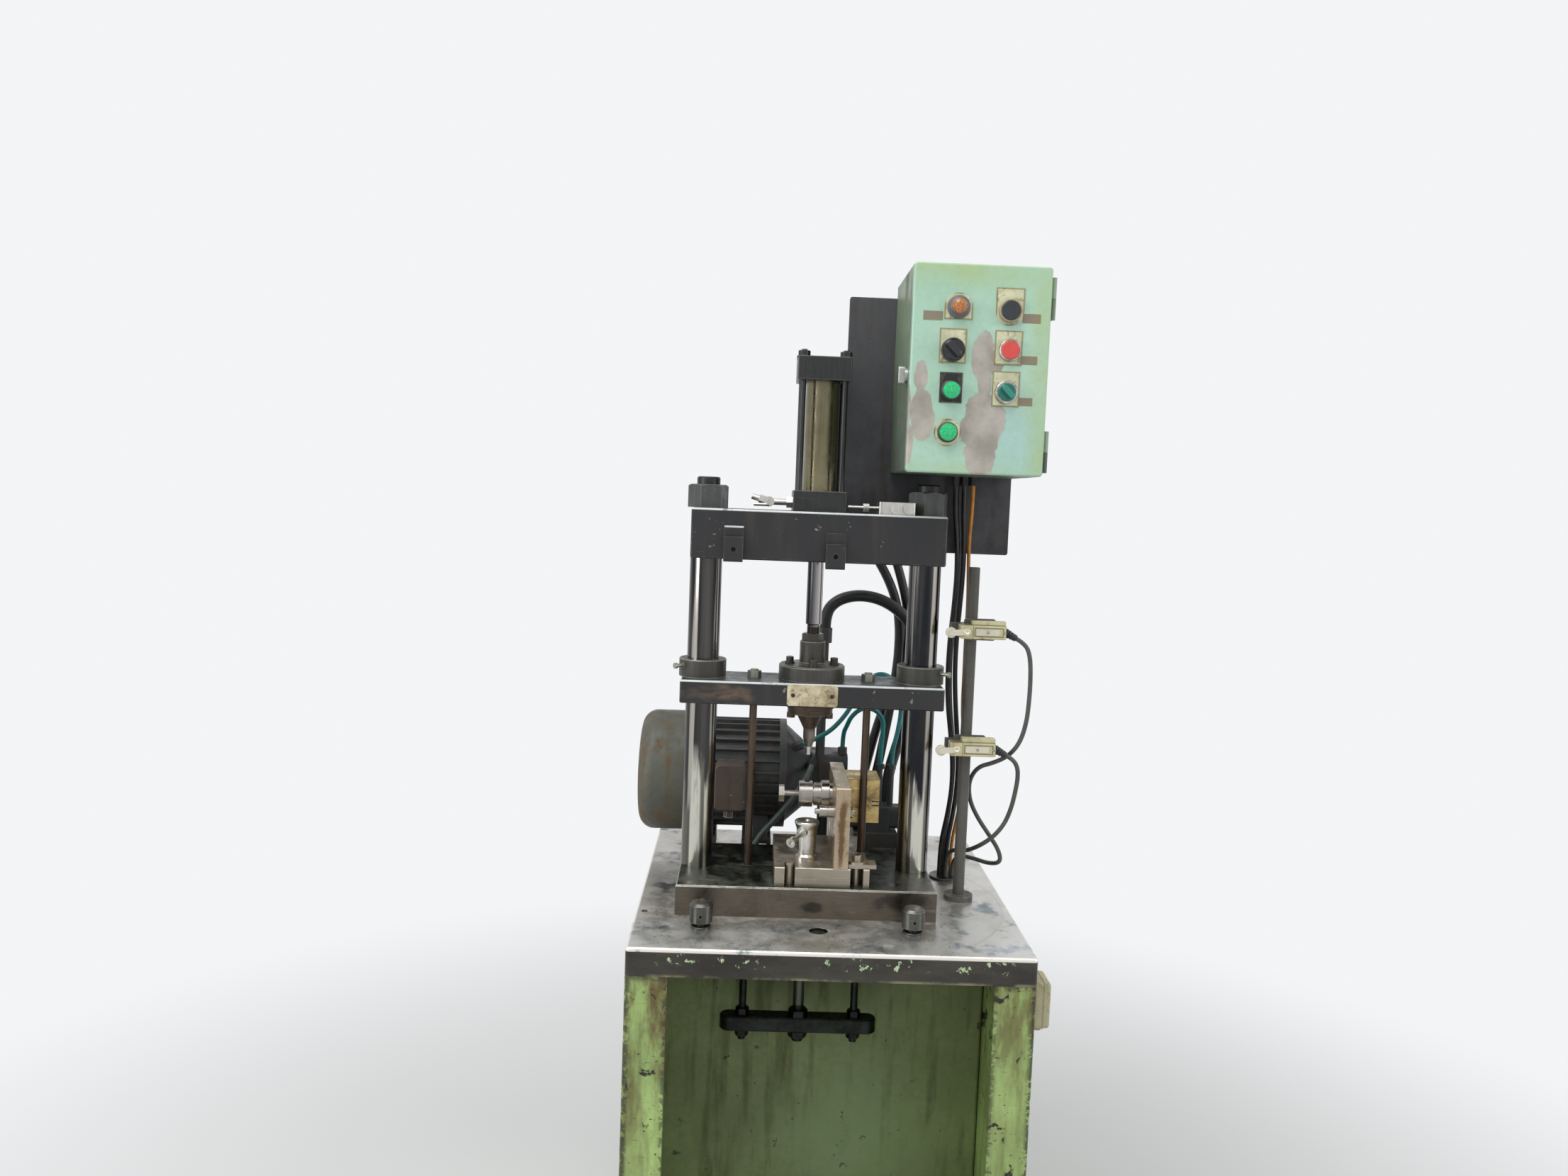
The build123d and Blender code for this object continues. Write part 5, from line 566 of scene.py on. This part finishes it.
def lamps_look():
    """Pilot lamps: grey and black bezels, an amber lens and two lit green ones."""
    look = Look("pilot_lamp_look")
    upper = look.ramp(look.mm(2), 879, 881)
    lenses = [((x, 100, z), (radius, 60, radius))
              for (x, z), radius in ((amber_lamp, 10.8), (green_lamp, 12.2), (low_lamp, 12.5))]
    lens = look.both(look.ovals(lenses, 0, 0.01), look.ramp(look.mm(1), 101.8, 101.4))
    facets = look.cells(420)
    amber = look.mix(look.ramp(facets, 0.1, 0.6), rgb(214, 140, 74), rgb(160, 92, 40))
    green = look.mix(look.ramp(facets, 0.1, 0.6), rgb(6, 206, 132), rgb(0, 160, 94))
    dome = look.mix(upper, green, amber)
    look.base = look.mix(upper, rgb(34, 36, 38), rgb(98, 100, 102))
    look.cover(lens, dome)
    look.finish(look.ramp(lens, 0, 1, 0.38, 0.16))
    look.set("Coat Weight", look.both(lens, 0.6))
    look.set("Emission Color", dome)
    look.set("Emission Strength", look.both(lens, look.ramp(upper, 0, 1, 0.2, 0.03)))
    return look.bump(facets, 0.00008, 0.4)


def knob_look(name, body, grip, front_y, rough=0.25):
    """Selector or cap: glossy body with a paler rubbed front."""
    look = Look(name)
    uneven = look.noise(60, 4, 0.6)
    dark = look.mottle(uneven, body, 0.85, 1.2)
    pale = look.mottle(uneven, grip, 0.94, 1.06)
    look.base = look.mix(look.ramp(look.mm(1), front_y + 0.5, front_y), dark, pale)
    look.cover(look.edges(0.0007), shade(grip, 1.5), 0.4)
    look.cover(look.cloud(160, 4, 0.7, 0.55, 0.72, 0.0, 0.25), rgb(120, 116, 104))
    look.finish(look.ramp(uneven, 0.3, 0.7, rough - 0.06, rough + 0.12)).set("Coat Weight", 0.3)
    return look.bump(look.noise(500, 2, 0.5), 0.00005, 0.4)


def switch_look():
    """Switch cases: yellowed cream plastic with black ribbed glands at their right ends."""
    look = Look("switch_plastic")
    uneven = look.noise(30, 5, 0.6)
    look.base = look.mottle(uneven, rgb(208, 202, 160), 0.82, 1.1)
    marks = look.cloud(70, 5, 0.7, 0.50, 0.70, 0.0, 0.55, bend=0.5)
    look.cover(marks, rgb(132, 116, 76))
    look.cover(look.edges(0.0007), rgb(236, 232, 204), 0.5)
    gland_from = look.ramp(look.mm(2), 339, 341, 257.6, 264.6)
    over = look.math("SUBTRACT", look.mm(0), gland_from, clamp=False)
    lines = []
    for left, level in switch_corners.values():
        recess = look.panel(left + 21.6, left + 67.8, level - 7.4, level + 7.4)
        field = look.panel(left + 23.2, left + 66.2, level - 5.8, level + 5.8)
        lines += [look.both(recess, look.rest(field)),
                  look.panel(left, left + 74, level + 10.4, level + 11.4),
                  look.panel(left + 19.4, left + 20.2, level - 11, level + 11)]
    look.cover(look.most(*lines), rgb(92, 82, 52), 0.75)
    look.cover(look.ramp(over, 0, 1.4), rgb(38, 38, 38))
    look.finish(look.math("ADD", look.ramp(uneven, 0.3, 0.7, 0.32, 0.46), marks))
    return look.bump(look.noise(700, 2, 0.5), 0.00005, 0.5)


def wall_look():
    """Fixture wall: ground bright edges and a brown rust streak down the middle of its front."""
    look = steel_layers("wall_steel", rgb(168, 152, 128), grain=(60, 1.5, 60), stain=rgb(118, 82, 50),
                        stained=0.7, scratched=0.6)
    streak = look.both(look.ovals([((18, 150, 150), (6, 30, 42)), ((17, 150, 105), (4, 30, 26))], 0.5, 0.4),
                       look.cloud(60, 5, 0.65, 0.3, 0.5, 0.3, 1.0, stretch=(1, 1, 0.4)))
    look.cover(streak, rgb(98, 70, 44), 0.85)
    return steel_finish(look, 0.32, 0.9)


def ejector_look():
    """Ejector: black and oily under the table, brown steel above it, pale nuts on the crosshead."""
    look = steel_layers("ejector_steel", rgb(78, 66, 55), grain=upright, stain=rgb(58, 46, 38),
                        stained=0.5, scratched=0.3, edge_light=0.15)
    dark = rgb(26, 28, 26)
    black = look.mix(look.cloud(50, 5, 0.65, 0.35, 0.7), dark, shade(dark, 2.2))
    height = look.mm(2)
    middle_rod = look.both(look.between(look.mm(0), -43.5, -22.5, 0.5), look.ramp(height, -182, -179))
    black = look.mix(look.both(middle_rod, 0.9), black, rgb(82, 84, 77))
    look.cover(look.ramp(height, 2, -6), black)
    look.cover(look.ramp(height, crosshead_top + 0.5, crosshead_top + 1.5), rgb(138, 132, 116))
    return steel_finish(look, 0.32, 0.85)


def holder_look():
    """Tool holder: brown flange and cone, and a grey steel neck with a painted sheen, darker on its left and
    lighter on its right.
    """
    look = steel_layers("holder_steel", rgb(74, 62, 50), grain=upright, stain=rgb(82, 58, 38),
                        stained=0.7, scratched=0.3, edge_light=0.3)
    neck = look.ramp(look.mm(2), 272, 262)
    # Painted sheen across the neck
    painted_sheen = look.mix(look.ramp(look.facing(0), -0.5, 0.1), rgb(70, 66, 60), rgb(132, 126, 116))
    look.cover(neck, painted_sheen, 0.85)
    return steel_finish(look, 0.4, 0.7)


def ram_fastener_look():
    """Ram fasteners: dark oiled screws in the middle, darkest on their sides as painted shade in their
    recesses, and bright trip screws at the ends.
    """
    look = steel_layers("ram_fastener_steel", rgb(150, 152, 142), grain=(30, 30, 1), stain=rgb(96, 88, 66),
                        stained=0.4, scratched=0.4, edge_light=0.3)
    middle = look.between(look.mm(0), -100, 34, 1)
    # Dark oil, with painted shade on the sides of the sunk screws
    oil_and_recess_shade = look.ramp(look.facing(2), 0.3, 0.8, 0.95, 0.45)
    look.cover(look.both(middle, oil_and_recess_shade), rgb(62, 59, 54))
    return steel_finish(look, 0.34, 0.85)


def dress(look, *names):
    """Gives CAD nodes a finish."""
    for name in names:
        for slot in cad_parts[name].material_slots:
            slot.material = look.material


oiled_steel = steel("oiled_steel", rgb(56, 57, 57), grain=upright, stain=rgb(58, 50, 42), stained=0.4,
                    scratched=0.35, edge_light=0.3, metal=0.8)
fastener_steel = steel("fastener_steel", rgb(150, 152, 142), grain=(30, 30, 1), stain=rgb(96, 88, 66),
                       stained=0.4, scratched=0.4)
roller_plastic = moulded("roller_plastic", rgb(218, 214, 192), rough=0.4, dirt=rgb(150, 138, 112),
                         dirty=0.4)
lever_plate = steel("lever_plate", rgb(206, 200, 180), rough=0.32, metal=0.6)

dress(cabinet_look(), "cabinet")
dress(tank_look(), "oil_tank")
dress(table_look(), "table_top")
dress(base_look(), "press_base")
dress(column_look(), "columns")
dress(rod_look(), "piston_rod")
dress(block_look("beam_paint", beam_top), "beam")
dress(block_look("crosshead_paint", crosshead_top, ((-176, crosshead_front, 328), (40, 10, 12))), "crosshead")
dress(block_look("hook_paint", hook_top), "beam_hooks")
dress(steel("nut_steel", rgb(84, 86, 85), rough=0.42, grain=upright, stain=rgb(60, 58, 56), stained=0.4,
            scratched=0.3, edge_light=0.3, metal=0.55), "column_nuts")
dress(steel("bush_steel", rgb(68, 67, 62), rough=0.4, grain=upright, stain=rgb(58, 50, 40), stained=0.4,
            scratched=0.3, edge_light=0.75, edge=0.0018, metal=0.5), "crosshead_bushes", "coupling_flange")
dress(oiled_steel, "tie_rods", "cylinder_head", "cylinder_end_cap", "table_bushes")
dress(holder_look(), "tool_holder")
dress(steel("barrel_steel", rgb(114, 108, 85), rough=0.25, grain=(20, 20, 0.5), stain=rgb(86, 70, 46),
            stained=0.5, scratched=0.25, metal=0.85), "cylinder_tube")
dress(ram_fastener_look(), "ram_fasteners")
dress(steel("bright_steel", rgb(190, 188, 182), rough=0.26, grain=(30, 30, 1), stain=rgb(112, 92, 66),
            stained=0.35), "nest_post", "punch", "pipe_fittings", "throttle_knob")
dress(ejector_look(), "ejector_rods", "ejector_bar")
dress(steel("latch_steel", rgb(176, 176, 172), rough=0.3, stained=0.25), "door_latch")
dress(steel("plate_steel", rgb(150, 142, 128), grain=(1.5, 50, 60), stain=rgb(104, 82, 60), stained=0.6,
            metal=0.9), "fixture_plate", "fixture_fasteners")
dress(wall_look(), "fixture_wall")
dress(painted("motor_paint", rgb(64, 67, 66), rgb(88, 84, 78), wear=0.25, chip_scale=70,
              dirt=rgb(92, 84, 74), dirty=0.7), "motor", "motor_rails")
dress(painted("cowl_paint", rgb(84, 85, 75), rgb(78, 72, 64), chip_scale=60, dirt=rgb(104, 82, 58),
              dirty=0.85), "fan_cowl")
dress(painted("terminal_paint", rgb(86, 74, 65), rgb(200, 192, 176), wear=0.35, dirty=0.6, gloss=0.45,
              edge=0.0022), "terminal_box")
dress(painted("pump_iron", rgb(58, 62, 64), rgb(98, 94, 90), chip_scale=80, dirt=rgb(82, 70, 56),
              dirty=0.7, gloss=0.45), "pump", "valve_block")
dress(painted("mast_paint", rgb(86, 84, 78), rgb(136, 132, 126), chip_scale=90, dirty=0.4, edge=0.001,
              gloss=0.42), "switch_mast")
dress(switch_look(), "switch_bodies")
dress(lever_plate, "lever_upper", "lever_lower")
dress(roller_plastic, "roller_upper", "roller_lower")
dress(painted("panel_paint", rgb(66, 66, 70), rgb(110, 104, 98)), "carrier_panel")
dress(shell_look(), "control_box")
dress(door_look(), "box_door")
dress(lamps_look(), "pilot_lamps")
dress(knob_look("black_cap", rgb(22, 25, 30), rgb(30, 36, 42), cap_front, 0.3), "button_black")
dress(knob_look("black_selector", rgb(13, 15, 19), rgb(24, 27, 33), selector_front, 0.12), "selector_black")
dress(knob_look("red_cap", rgb(190, 42, 34), rgb(212, 74, 64), cap_front), "button_red")
dress(knob_look("green_selector", rgb(14, 104, 92), rgb(36, 134, 118), selector_front), "selector_green")
dress(steel("palm_steel", rgb(86, 86, 82), rough=0.24, grain=upright, stain=rgb(58, 54, 48),
            stained=0.5), "palm_button_left", "palm_button_right")
dress(steel("brass", rgb(196, 172, 116), rough=0.36, grain=(40, 2, 40), stain=rgb(88, 72, 46), stained=0.9,
            scratched=0.4, edge_light=0.25, metal=0.85), "brass_block")
dress(steel("locator_steel", rgb(148, 144, 138), rough=0.24, grain=(60, 1, 1), stain=rgb(124, 98, 76),
            stained=0.45, scratched=0.3), "locator")
dress(moulded("junction_plastic", rgb(186, 180, 146), rough=0.5, dirt=rgb(110, 98, 72), dirty=0.6),
      "junction_box")


# Cords
def cord(name, node, diameter, kind, points):
    """One cord along its route's points, in place of its CAD tube."""
    look, slot, stiffness, lay = kind
    data = bpy.data.curves.new(name, "CURVE")
    data.dimensions = "3D"
    spline = data.splines.new("NURBS")
    spline.points.add(len(points) - 1)
    for point, spot in zip(spline.points, points):
        point.co = (*place(*spot), 1)
    spline.order_u = 3
    spline.use_endpoint_u = True
    spline.resolution_u = 8
    piece = add(name, data)
    line = bpy.data.meshes.new_from_object(piece)
    data.bevel_depth = diameter / 2
    data.bevel_resolution = 5
    data.materials.append(look.material)
    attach(piece, "frame")
    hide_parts(node)


# What cords share: look, slot, stiffness and lay
hose = rubber("hose_rubber", rgb(17, 18, 21), rough=0.45, dusty=0.15), "hose_black", "stiff", "taut"
teal_tube = rubber("teal_tube", rgb(22, 122, 124), rough=0.3, dusty=0.2), "tube_teal", "medium", "taut"
grey_tube = rubber("grey_tube", rgb(78, 90, 84), rough=0.35, dusty=0.3), "tube_teal", "medium", "taut"
black_cable = rubber("black_cable", rgb(28, 28, 30), rough=0.42, dusty=0.2), "cable_black", "medium", "taut"
orange_look = rubber("orange_cable_look", rgb(196, 128, 44), rough=0.45, dusty=0.2)
orange_cable = orange_look, "cable_black", "medium", "taut"
grey_look = rubber("grey_cable", rgb(74, 76, 72), rough=0.45, dusty=0.3)
switch_cable = grey_look, "cable_grey", "medium", "hanging"

cord("arch_hose", "hose_arch", 0.020, hose, [
    (-3, 430, 410), (-3, 430, 436), (14, 430, 457), (40, 430, 467), (68, 430, 468), (96, 430, 461),
    (122, 430, 446), (143, 431, 425), (156, 433, 396), (161, 436, 362), (161, 440, 326), (157, 445, 290),
    (149, 450, 254), (140, 454, 220), (131, 456, 188), (123, 457, 156), (118, 456, 116), (118, 456, 76),
])
cord("head_hose", "cylinder_hoses", 0.016, hose, [
    (-33, 300, 628), (-33, 338, 628), (-29, 376, 617), (-12, 409, 603), (12, 433, 592), (44, 446, 576),
    (72, 452, 550), (94, 454, 518), (112, 455, 484), (124, 455, 450), (129, 455, 416), (130, 455, 380),
    (128, 455, 340), (123, 455, 298), (117, 455, 255), (110, 455, 212), (104, 456, 172), (97, 456, 138),
    (94, 456, 106), (94, 456, 76),
])
cord("end_hose", "cylinder_hoses", 0.016, hose, [
    (-33, 300, 830), (-33, 338, 830), (-31, 374, 818), (-26, 404, 797), (-18, 428, 768), (-6, 444, 734),
    (10, 452, 698), (30, 456, 664), (53, 458, 633), (77, 460, 603), (99, 461, 571), (116, 461, 537),
    (128, 461, 502), (138, 462, 467), (145, 466, 432), (147, 471, 396), (142, 476, 360), (132, 479, 324),
    (120, 480, 290), (108, 480, 256), (98, 479, 222), (90, 476, 190), (82, 470, 158), (74, 462, 128),
    (70, 456, 102), (70, 456, 76),
])
cord("long_tube", "tubes_teal", 0.008, teal_tube, [
    (122, 418, 176), (122, 418, 200), (130, 419, 232), (135, 420, 268), (133, 419, 300), (119, 416, 326),
    (97, 412, 337), (75, 407, 328), (57, 402, 303), (42, 400, 271), (16, 400, 238), (-12, 404, 219.5),
    (-34, 412, 208),
])
cord("short_tube", "tubes_teal", 0.008, teal_tube, [
    (102, 418, 176), (102, 418, 200), (104, 416, 228), (104, 413, 256), (88, 410, 274), (64, 410, 275),
    (47, 414, 258), (42, 426, 240), (37, 440, 224), (37, 440, 199),
])
cord("drain_tube", "tubes_teal", 0.011, grey_tube, [
    (-18, 410, 170), (-22, 386, 166), (-33, 362, 152), (-51, 352, 126), (-74, 358, 94), (-96, 364, 68),
    (-110, 368, 46), (-116, 368, 30), (-116, 368, 14),
])
# Control cables: X and Y at shared heights, from the box's glands down to the table's cable hole
heights = 662, 626, 570, 520, 468, 414, 360, 306, 256, 208, 160, 112, 68, 34, 4
control_cables = [
    ("front_cable", 0.008, black_cable, [
        (188, 285), (188, 285), (196, 292), (198.5, 296), (197, 299), (193, 300), (192, 300), (195, 302),
        (203, 306), (210, 314), (213, 326), (210, 338), (204, 348), (203, 352), (203, 352)]),
    ("right_cable", 0.008, black_cable, [
        (202, 285), (202, 285), (207, 291), (208, 294), (206, 296), (203, 296), (203, 296), (207, 298),
        (213, 303), (219, 312), (221, 325), (219, 338), (214, 348), (213, 352), (213, 352)]),
    ("rear_cable", 0.008, black_cable, [
        (195, 301), (195, 301), (201, 303), (203, 307), (201, 310), (198, 312), (197, 312), (200, 313),
        (207, 317), (213, 326), (215, 338), (213, 350), (209, 360), (208, 362), (208, 362)]),
    ("orange_cable", 0.006, orange_cable, [
        (216, 285), (216, 285), (214, 289), (216, 289), (217.5, 288), (216.5, 288), (217, 288),
        (217, 290), (222, 296), (228, 308), (230, 325), (228, 342), (223, 354), (222, 358), (222, 358)]),
]
for name, diameter, kind, spots in control_cables:
    cord(name, "cables_control", diameter, kind, [(x, y, z) for (x, y), z in zip(spots, heights)])

cord("upper_switch_cable", "switch_cable_upper", 0.007, switch_cable, [
    (283.4, 222, 426.1), (299.4, 222, 417.9), (307.5, 222.5, 398), (310, 223, 366), (310, 224, 330),
    (308, 225, 294), (300, 228, 260), (284, 236, 236), (262, 247, 222), (241, 258, 213), (229, 266, 188),
    (232, 268, 156), (246, 264, 128), (265, 262, 102), (283, 262, 76), (290, 274, 52), (276, 299, 42),
    (253, 320, 44), (235, 334, 44), (223, 347, 30), (223, 347, 4),
])
cord("lower_switch_cable", "switch_cable_lower", 0.007, switch_cable, [
    (276.4, 222, 241.1), (288.9, 222, 234.7), (297, 222.5, 222), (298.5, 223.5, 204), (296, 225, 182),
    (292, 228, 156), (284, 234, 128), (270, 244, 104), (254, 258, 86), (242, 278, 72), (234, 300, 62),
    (226, 320, 58), (215, 334, 50), (212, 341, 30), (212, 341, 4),
])


# Floor, backdrop and light
pale = (0.90, 0.91, 0.92)

# Ground: keeps the shadow near the object and runs into the backdrop further out
floor_look = Look("floor_look")
floor_look.base = rgb(238, 238, 237)
floor_look.finish(0.9).set("Specular IOR Level", 0.1)
distance = floor_look.vector("LENGTH", floor_look.at)
fade = floor_look.both(floor_look.seen(), floor_look.ramp(distance, 0.8, 2.4))
glow = floor_look.node("Emission", {"Color": pale}).outputs[0]
ground = floor_look.node("MixShader", {0: fade, 1: floor_look.shader.outputs[0], 2: glow}).outputs[0]
floor_look.put(floor_look.tree.nodes["Material Output"].inputs["Surface"], ground)
mesh = bpy.data.meshes.new("floor")
mesh.from_pydata([(-9, -9, 0), (9, -9, 0), (9, 9, 0), (-9, 9, 0)], [], [(0, 1, 2, 3)])
mesh.materials.append(floor_look.material)
floor = add("floor", mesh)
floor.location = (0, 0, -0.0005)

world = bpy.data.worlds.new("world")
scene.world = world
world.use_nodes = True
world.node_tree.nodes.clear()
sky = Nodes(world.node_tree)
soft = sky.node("Background", {"Color": (0.93, 0.96, 1.0), "Strength": 0.42}).outputs[0]
backdrop = sky.node("Background", {"Color": pale, "Strength": 1.0}).outputs[0]
air = sky.node("MixShader", {0: sky.seen(), 1: soft, 2: backdrop}).outputs[0]
sky.node("OutputWorld", {"Surface": air})


def lamp(name, spot, aim, size, power, colour):
    """A rectangular light that looks at a point."""
    data = bpy.data.lights.new(name, "AREA")
    data.shape = "RECTANGLE"
    data.size, data.size_y = size
    data.energy = power
    data.color = colour
    item = add(name, data)
    item.location = spot
    item.rotation_euler = (Vector(aim) - Vector(spot)).to_track_quat("-Z", "Y").to_euler()


lamp("top_lamp", (-0.6, -0.9, 3.4), (0, 0, 1.0), (2.2, 1.6), 42, (1.0, 0.98, 0.95))
lamp("left_lamp", (-2.6, -1.6, 2.0), (0, 0, 1.1), (1.0, 2.0), 34, (0.95, 0.98, 1.0))
lamp("right_lamp", (2.4, -1.2, 2.2), (0, 0, 1.1), (1.0, 1.8), 20, (1.0, 0.98, 0.95))


# Small pieces
def add_mesh(name, build, look, body, smooth=False):
    """Puts a finished bmesh into the scene as a piece that rides on a body."""
    mesh = bpy.data.meshes.new(name)
    bmesh.ops.recalc_face_normals(build, faces=build.faces)
    build.to_mesh(mesh)
    build.free()
    mesh.materials.append(look.material)
    for face in mesh.polygons:
        face.use_smooth = smooth
    piece = add(name, mesh)
    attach(piece, body)


def add_turned(name, centres, axis, outline, look, body, segments=24):
    """A piece of turned forms, given by (radius, distance) pairs in millimetres along their axis."""
    build = bmesh.new()
    axis = Vector(axis)
    side = axis.orthogonal().normalized()
    other = axis.cross(side)
    for centre in centres:
        rings = []
        for radius, out in outline:
            middle = place(*centre) + axis * out / 1000
            spokes = [2 * math.pi * k / segments for k in range(segments if radius else 1)]
            rings.append([build.verts.new(middle + radius / 1000 * (math.cos(a) * side + math.sin(a) * other))
                          for a in spokes])
        for low, high in zip(rings, rings[1:]):
            for k in range(segments):
                n = k + 1
                around = low[k % len(low)], high[k % len(high)], high[n % len(high)], low[n % len(low)]
                build.faces.new(list(dict.fromkeys(around)))
    add_mesh(name, build, look, body, smooth=True)


def add_sheet(name, corners, hole_centre, hole_radius, depths, look, body):
    """A thin upright plate with a round hole: corners as (X, Z), between two depths."""
    build = bmesh.new()
    sides = 48
    centre_x, centre_z = hole_centre
    turns = sorted({math.atan2(z - centre_z, x - centre_x) for x, z in corners}
                   | {2 * math.pi * k / sides - math.pi for k in range(sides)})
    rim = []
    for angle in turns:
        way_x, way_z = math.cos(angle), math.sin(angle)
        reach = 0
        for (ax, az), (bx, bz) in zip(corners, corners[1:] + corners[:1]):
            side_x, side_z = bx - ax, bz - az
            cross = way_x * side_z - way_z * side_x
            if abs(cross) < 1e-9:
                continue
            out = ((ax - centre_x) * side_z - (az - centre_z) * side_x) / cross
            along = ((ax - centre_x) * way_z - (az - centre_z) * way_x) / cross
            if out > 0 and -1e-6 <= along <= 1 + 1e-6:
                reach = max(reach, out)
        rim.append((reach * way_x, reach * way_z, hole_radius * way_x, hole_radius * way_z))
    layers = []
    for depth in depths:
        outer = [build.verts.new(place(centre_x + x, depth, centre_z + z)) for x, z, _, _ in rim]
        inner = [build.verts.new(place(centre_x + x, depth, centre_z + z)) for _, _, x, z in rim]
        layers += [outer, inner]
    for first, second in ((0, 1), (1, 3), (3, 2), (2, 0)):
        for k in range(len(rim)):
            n = (k + 1) % len(rim)
            build.faces.new((layers[first][k], layers[first][n], layers[second][n], layers[second][k]))
    add_mesh(name, build, look, body)


def arc(centre, radius, start, end, steps=16):
    """Points (X, Z) along a circle, from one angle in degrees to another."""
    turns = [math.radians(start + (end - start) * k / steps) for k in range(steps + 1)]
    return [(centre[0] + radius * math.cos(turn), centre[1] + radius * math.sin(turn)) for turn in turns]


def box_corners(left, end, low, top):
    """A rectangle's corners (X, Z)."""
    return [(left, low), (end, low), (end, top), (left, top)]


def legend_look(name, colour, border, corners):
    """Aluminium legend plate without its print: a plain border and a rubbed, coloured middle."""
    border_width = 2.2
    look = Look(name)
    uneven = look.noise(40, 5, 0.65)
    (left, end), (low, top) = [(min(side) + border_width, max(side) - border_width) for side in zip(*corners)]
    look.base = border
    look.cover(look.panel(left, end, low, top), look.mottle(uneven, colour, 0.8, 1.12))
    look.cover(look.cloud(70, 5, 0.7, 0.52, 0.68, 0.0, 0.6, bend=0.6), rgb(104, 92, 70))
    look.finish(look.ramp(uneven, 0.3, 0.7, 0.3, 0.5), 0.2)
    return look.bump(uneven, 0.00006, 0.4)


cream, black = (rgb(206, 206, 172), rgb(150, 142, 104)), (rgb(34, 34, 36), rgb(60, 60, 60))
legends = [
    ("legend_amber", amber_lamp, 16.7,
     [(129.5, 896.4), (170.5, 896.4)] + arc(amber_lamp, 20.5, 0, 180), cream),
    ("legend_black_button", black_button, 16.7,
     arc(black_button, 20.5, 180, 360) + [(244.5, 944), (203.5, 944)], cream),
    ("legend_black_selector", (144, 852.5), 17.2, box_corners(124.5, 163.5, 834, 883.5), cream),
    ("legend_red", (226, 855), 15.8, box_corners(204.5, 244.5, 834.3, 883.5), cream),
    ("legend_green_lamp", green_lamp, 15.2, box_corners(127.5, 160.5, 777.3, 821), black),
    ("legend_green_selector", (224, 795), 16.7, box_corners(203.5, 243.5, 774.8, 825.4), cream),
    ("legend_low_lamp", low_lamp, 14.7, arc(low_lamp, 19.7, 0, 350, 35), cream),
]
for name, middle, hole, corners, colours in legends:
    look = legend_look(name + "_look", *colours, corners)
    add_sheet(name, corners, middle, hole, (door_face - 0.8, door_face), look, "door")

# Blank name plate on the crosshead
plate = Look("plate_look")
worn = plate.noise(75, 6, 0.72, bend=0.7)
plate.base = plate.mix(plate.cloud(30, 5, 0.65, 0.3, 0.7), rgb(168, 152, 118), rgb(226, 214, 184))
plate.cover(plate.ramp(worn, 0.50, 0.60, 0.0, 0.65), rgb(112, 98, 74))
plate.finish(plate.ramp(worn, 0.4, 0.7, 0.32, 0.55), 0.45).bump(worn, 0.0001, 0.6)
plate_front = crosshead_front - 0.9
build = bmesh.new()
low, high = place(-72, plate_front, 313.5), place(6, crosshead_front, 346.5)
bmesh.ops.create_cube(build, size=1)
for vertex in build.verts:
    for axis in range(3):
        vertex.co[axis] = low[axis] if vertex.co[axis] < 0 else high[axis]
across_edges = [edge for edge in build.edges if abs((edge.verts[0].co - edge.verts[1].co).y) > 1e-5]
bmesh.ops.bevel(build, geom=across_edges, offset=0.002, segments=3, affect="EDGES")
add_mesh("name_plate", build, plate, "ram")
forward, up = (0, -1, 0), (0, 0, 1)
for number, x in enumerate((-63, -3), 1):
    add_turned("plate_screw_%d" % number, [(x, plate_front, 330)], forward,
               [(0, -0.5), (3.2, -0.5), (3.2, 0.6), (2.2, 1.5), (0, 1.7)],
               oiled_steel, "ram", 20)

# Countersunk screw at the table's left edge
add_turned("table_screw", [(-277, 146, 0)], up,
           [(0, -0.6), (5, -0.6), (5, 0.2), (4.4, 0.5), (2, 0.5), (1.6, 0.1), (0, 0.1)],
           oiled_steel, "frame")

# Switch fronts: a label plate in each recess, a screw through it, a screw beside it and the lever's hub
for name, (left, level) in switch_corners.items():
    middle = left + 43
    add_sheet("switch_label_" + name, box_corners(left + 25, left + 61, level - 5, level + 5),
              (middle, level), 2.2, (switch_front - 0.9, switch_front), roller_plastic, "frame")
    screws = [(x, switch_front - 1, level) for x in (middle, left + 68.5)]
    add_turned("switch_screws_" + name, screws, forward,
               [(0, -0.9), (2, -0.9), (2, 0.3), (1.4, 0.7), (0, 0.7)],
               fastener_steel, "frame", 16)
    add_turned("lever_hub_" + name, [(left + 10, 207.7, level)], forward,
               [(0, -0.4), (5, -0.4), (5, 0.6), (4.4, 1.1), (2.4, 1.1), (2.2, 0.5), (0, 0.5)],
               lever_plate, "body_lever_" + name)
